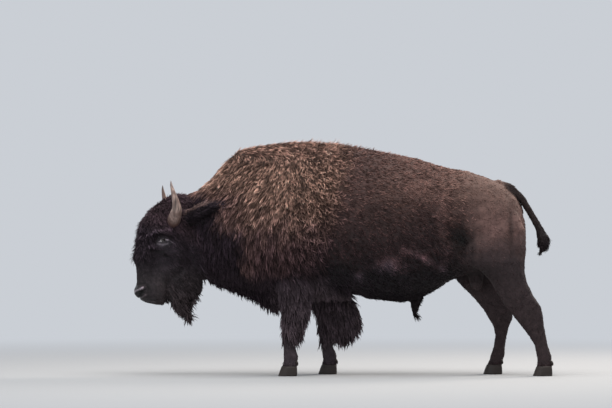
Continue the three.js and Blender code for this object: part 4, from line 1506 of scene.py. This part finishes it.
grow("coat_cape", wool, 12000, 0.056, 0.0060, slot="cape_wool", lift=0.42, curl=wool_curl,
     turns=0.8, clump=0.44, clump_rate=0.20, roots_tone=0.04, tips=2.75, contrast=0.80,
     stray=wool_stray, longer=longer_low)
grow("coat_neck", neck_share, 7500, 0.088, 0.010, rings=4, lift=0.30, hang=0.6, curl=0.006,
     clump=0.50, clump_rate=0.13, tips=1.8, contrast=0.38)
grow("coat_fringe", fringe_share, 8000, 0.088, 0.0095, rings=4, lift=0.22, hang=0.9, curl=0.006,
     clump=0.60, clump_rate=0.09, tips=1.5, contrast=0.3)
grow("coat_beard", beard_share, 12000, 0.084, 0.0095, rings=5, lift=0.16, hang=0.9, curl=0.006,
     clump=0.60, clump_rate=0.08, tips=1.8, longer=beard_length)
grow("coat_chaps", chaps_share, 6500, 0.090, 0.010, rings=4, lift=0.40, hang=0.7, curl=0.005,
     clump=0.60, clump_rate=0.10, tips=1.5, contrast=0.3)
grow("coat_crown", crown_share, 17000, 0.046, 0.0074, rings=4, lift=0.62, curl=0.007, turns=0.6,
     clump=0.40, clump_rate=0.14, tips=1.8, contrast=0.32)
grow("coat_bristles", forehead_share, 4200, 0.050, 0.0055, rings=4, lift=0.85, curl=0.004,
     turns=0.5, stray=0.30, roots_tone=0.8, tips=2.2, contrast=0.35)
grow("coat_cheek", cheek_share, 16000, 0.032, 0.0065, lift=0.26, clump=0.3, clump_rate=0.12,
     tips=1.5, longer=cheek_length)
grow("coat_face", muzzle_share, 34000, 0.014, 0.0036, rings=2, lift=0.40, clump=0.15, tips=1.7,
     contrast=0.35, sink=0.001, longer=forehead_length)
grow("coat_ears", on_ear, 16000, 0.042, 0.006, lift=0.45, hang=0.3, curl=0.004, stray=0.25,
     tips=1.6, contrast=0.35, sink=0.001)
grow("coat_barrel", barrel_share, 9000, 0.034, 0.0074, slot="rear_coat", rings=2, lift=0.30,
     clump=0.40, clump_rate=0.16, roots_tone=0.25, tips=1.95, contrast=0.50, stray=barrel_stray)
grow("coat_belly", belly_share, 9000, 0.036, 0.008, lift=0.25, hang=0.2, clump=0.3, tips=1.2)
grow("coat_rump", rump_share, 7500, 0.024, 0.007, slot="rear_coat", rings=2, lift=0.15, tips=1.25,
     contrast=0.2)
grow("coat_hind_legs", hind_leg_share, 15000, 0.016, 0.0045, rings=2, lift=0.14, tips=1.2,
     sink=0.001)
grow("coat_shanks", shank_share, 15000, 0.014, 0.0045, rings=2, lift=0.14, tips=1.2, sink=0.001)
grow("coat_fetlocks", fetlock_share, 16000, 0.030, 0.0050, lift=0.30, hang=0.5, clump=0.3, tips=1.3,
     sink=0.001)
grow("coat_tail", on_tail, 20000, 0.024, 0.0045, rings=2, lift=0.10, tips=1.5, sink=0.001)
grow("coat_tassel", tassel_share, 42000, 0.045, 0.005, rings=4, lift=0.26, curl=0.006, clump=0.4,
     clump_rate=0.06, tips=1.5, sink=0.001)
grow("coat_sheath", on_sheath, 20000, 0.020, 0.005, rings=2, lift=0.12, tips=1.4, sink=0.001)
grow("coat_sheath_tip", sheath_tip, 40000, 0.060, 0.005, rings=4, lift=0.0, hang=1.0, curl=0.002,
     clump=0.3, clump_rate=0.10, tips=1.4)


# ------------------------------------------------------------------ stage
CAMERA_AIM = Vector((-0.277, 0.0, 1.314))
CAMERA_PLACE = Vector((-0.277, -22.0, 0.96))
PIXELS_PER_METRE = 130.0
PICTURE_WIDTH = 612.0
WALL_COLOUR = (0.80, 0.84, 0.90, 1.0)
WALL_STRENGTH = 0.74
FLOOR_REACH = 150.0
FLOOR_FADE = (1.5, 10.0)  # where the wall's colour starts, and where it is all
# Name, place, aim, size, power, colour.
LIGHTS = [
    ("sky", (-0.2, -1.2, 7.5), (0.0, 0.0, 0.9), 7.0, 720.0, (1.0, 0.97, 0.94)),
    ("rim", (5.5, 4.0, 5.0), (0.3, 0.0, 1.2), 3.5, 480.0, (1.0, 0.90, 0.80)),
    ("front", (-6.0, -8.0, 3.5), (-0.4, 0.0, 1.0), 5.0, 160.0, (0.95, 0.97, 1.0)),
]


def make_camera():
    data = bpy.data.cameras.new("camera")
    distance = (CAMERA_AIM - CAMERA_PLACE).length
    data.sensor_width = 36.0
    data.lens = data.sensor_width * distance * PIXELS_PER_METRE / PICTURE_WIDTH
    data.clip_end = 400.0
    camera = new_object("camera", data)
    camera.location = CAMERA_PLACE
    camera.rotation_euler = (CAMERA_AIM - CAMERA_PLACE).to_track_quat("-Z", "Y").to_euler()
    bpy.context.scene.camera = camera


def area_light(name, place, aim, size, power, colour):
    data = bpy.data.lights.new(name, "AREA")
    data.shape = "DISK"
    data.size = size
    data.energy = power
    data.color = colour
    light = new_object(name, data)
    light.location = place
    light.rotation_euler = (Vector(aim) - Vector(place)).to_track_quat("-Z", "Y").to_euler()


def make_world():
    world = bpy.data.worlds.new("studio")
    world.use_nodes = True
    background = world.node_tree.nodes["Background"]
    background.inputs["Color"].default_value = WALL_COLOUR
    background.inputs["Strength"].default_value = WALL_STRENGTH
    bpy.context.scene.world = world


def make_floor():
    corners = [(x * FLOOR_REACH, y * FLOOR_REACH, 0) for x, y in ((-1, -1), (1, -1), (1, 1), (-1, 1))]
    floor = new_object("floor", mesh_from("floor", corners, [(0, 1, 2, 3)]))
    floor.data.materials.append(floor_material())


def floor_material():
    """Pale near the model; far off it takes the wall's colour, so that no horizon shows."""
    m = Nodes("pale_floor")
    m.set(Base_Color=(0.34, 0.345, 0.35, 1.0), Roughness=0.9)
    length = m.add("ShaderNodeVectorMath", operation="LENGTH")
    far = m.add("ShaderNodeMapRange", interpolation_type="SMOOTHSTEP")
    far.inputs["From Min"].default_value, far.inputs["From Max"].default_value = FLOOR_FADE
    wall = m.add("ShaderNodeEmission")
    wall.inputs["Color"].default_value = WALL_COLOUR
    wall.inputs["Strength"].default_value = WALL_STRENGTH
    blend = m.add("ShaderNodeMixShader")
    m.link(m.add("ShaderNodeTexCoord").outputs["Object"], length.inputs[0])
    m.link(length.outputs["Value"], far.inputs["Value"])
    m.link(far.outputs["Result"], blend.inputs["Fac"])
    m.link(m.shader.outputs["BSDF"], blend.inputs[1])
    m.link(wall.outputs["Emission"], blend.inputs[2])
    m.link(blend.outputs["Shader"], m.tree.nodes["Material Output"].inputs["Surface"])
    return m.material


bpy.context.scene.view_settings.view_transform = "Standard"
make_camera()
make_world()
make_floor()
for light in LIGHTS:
    area_light(*light)
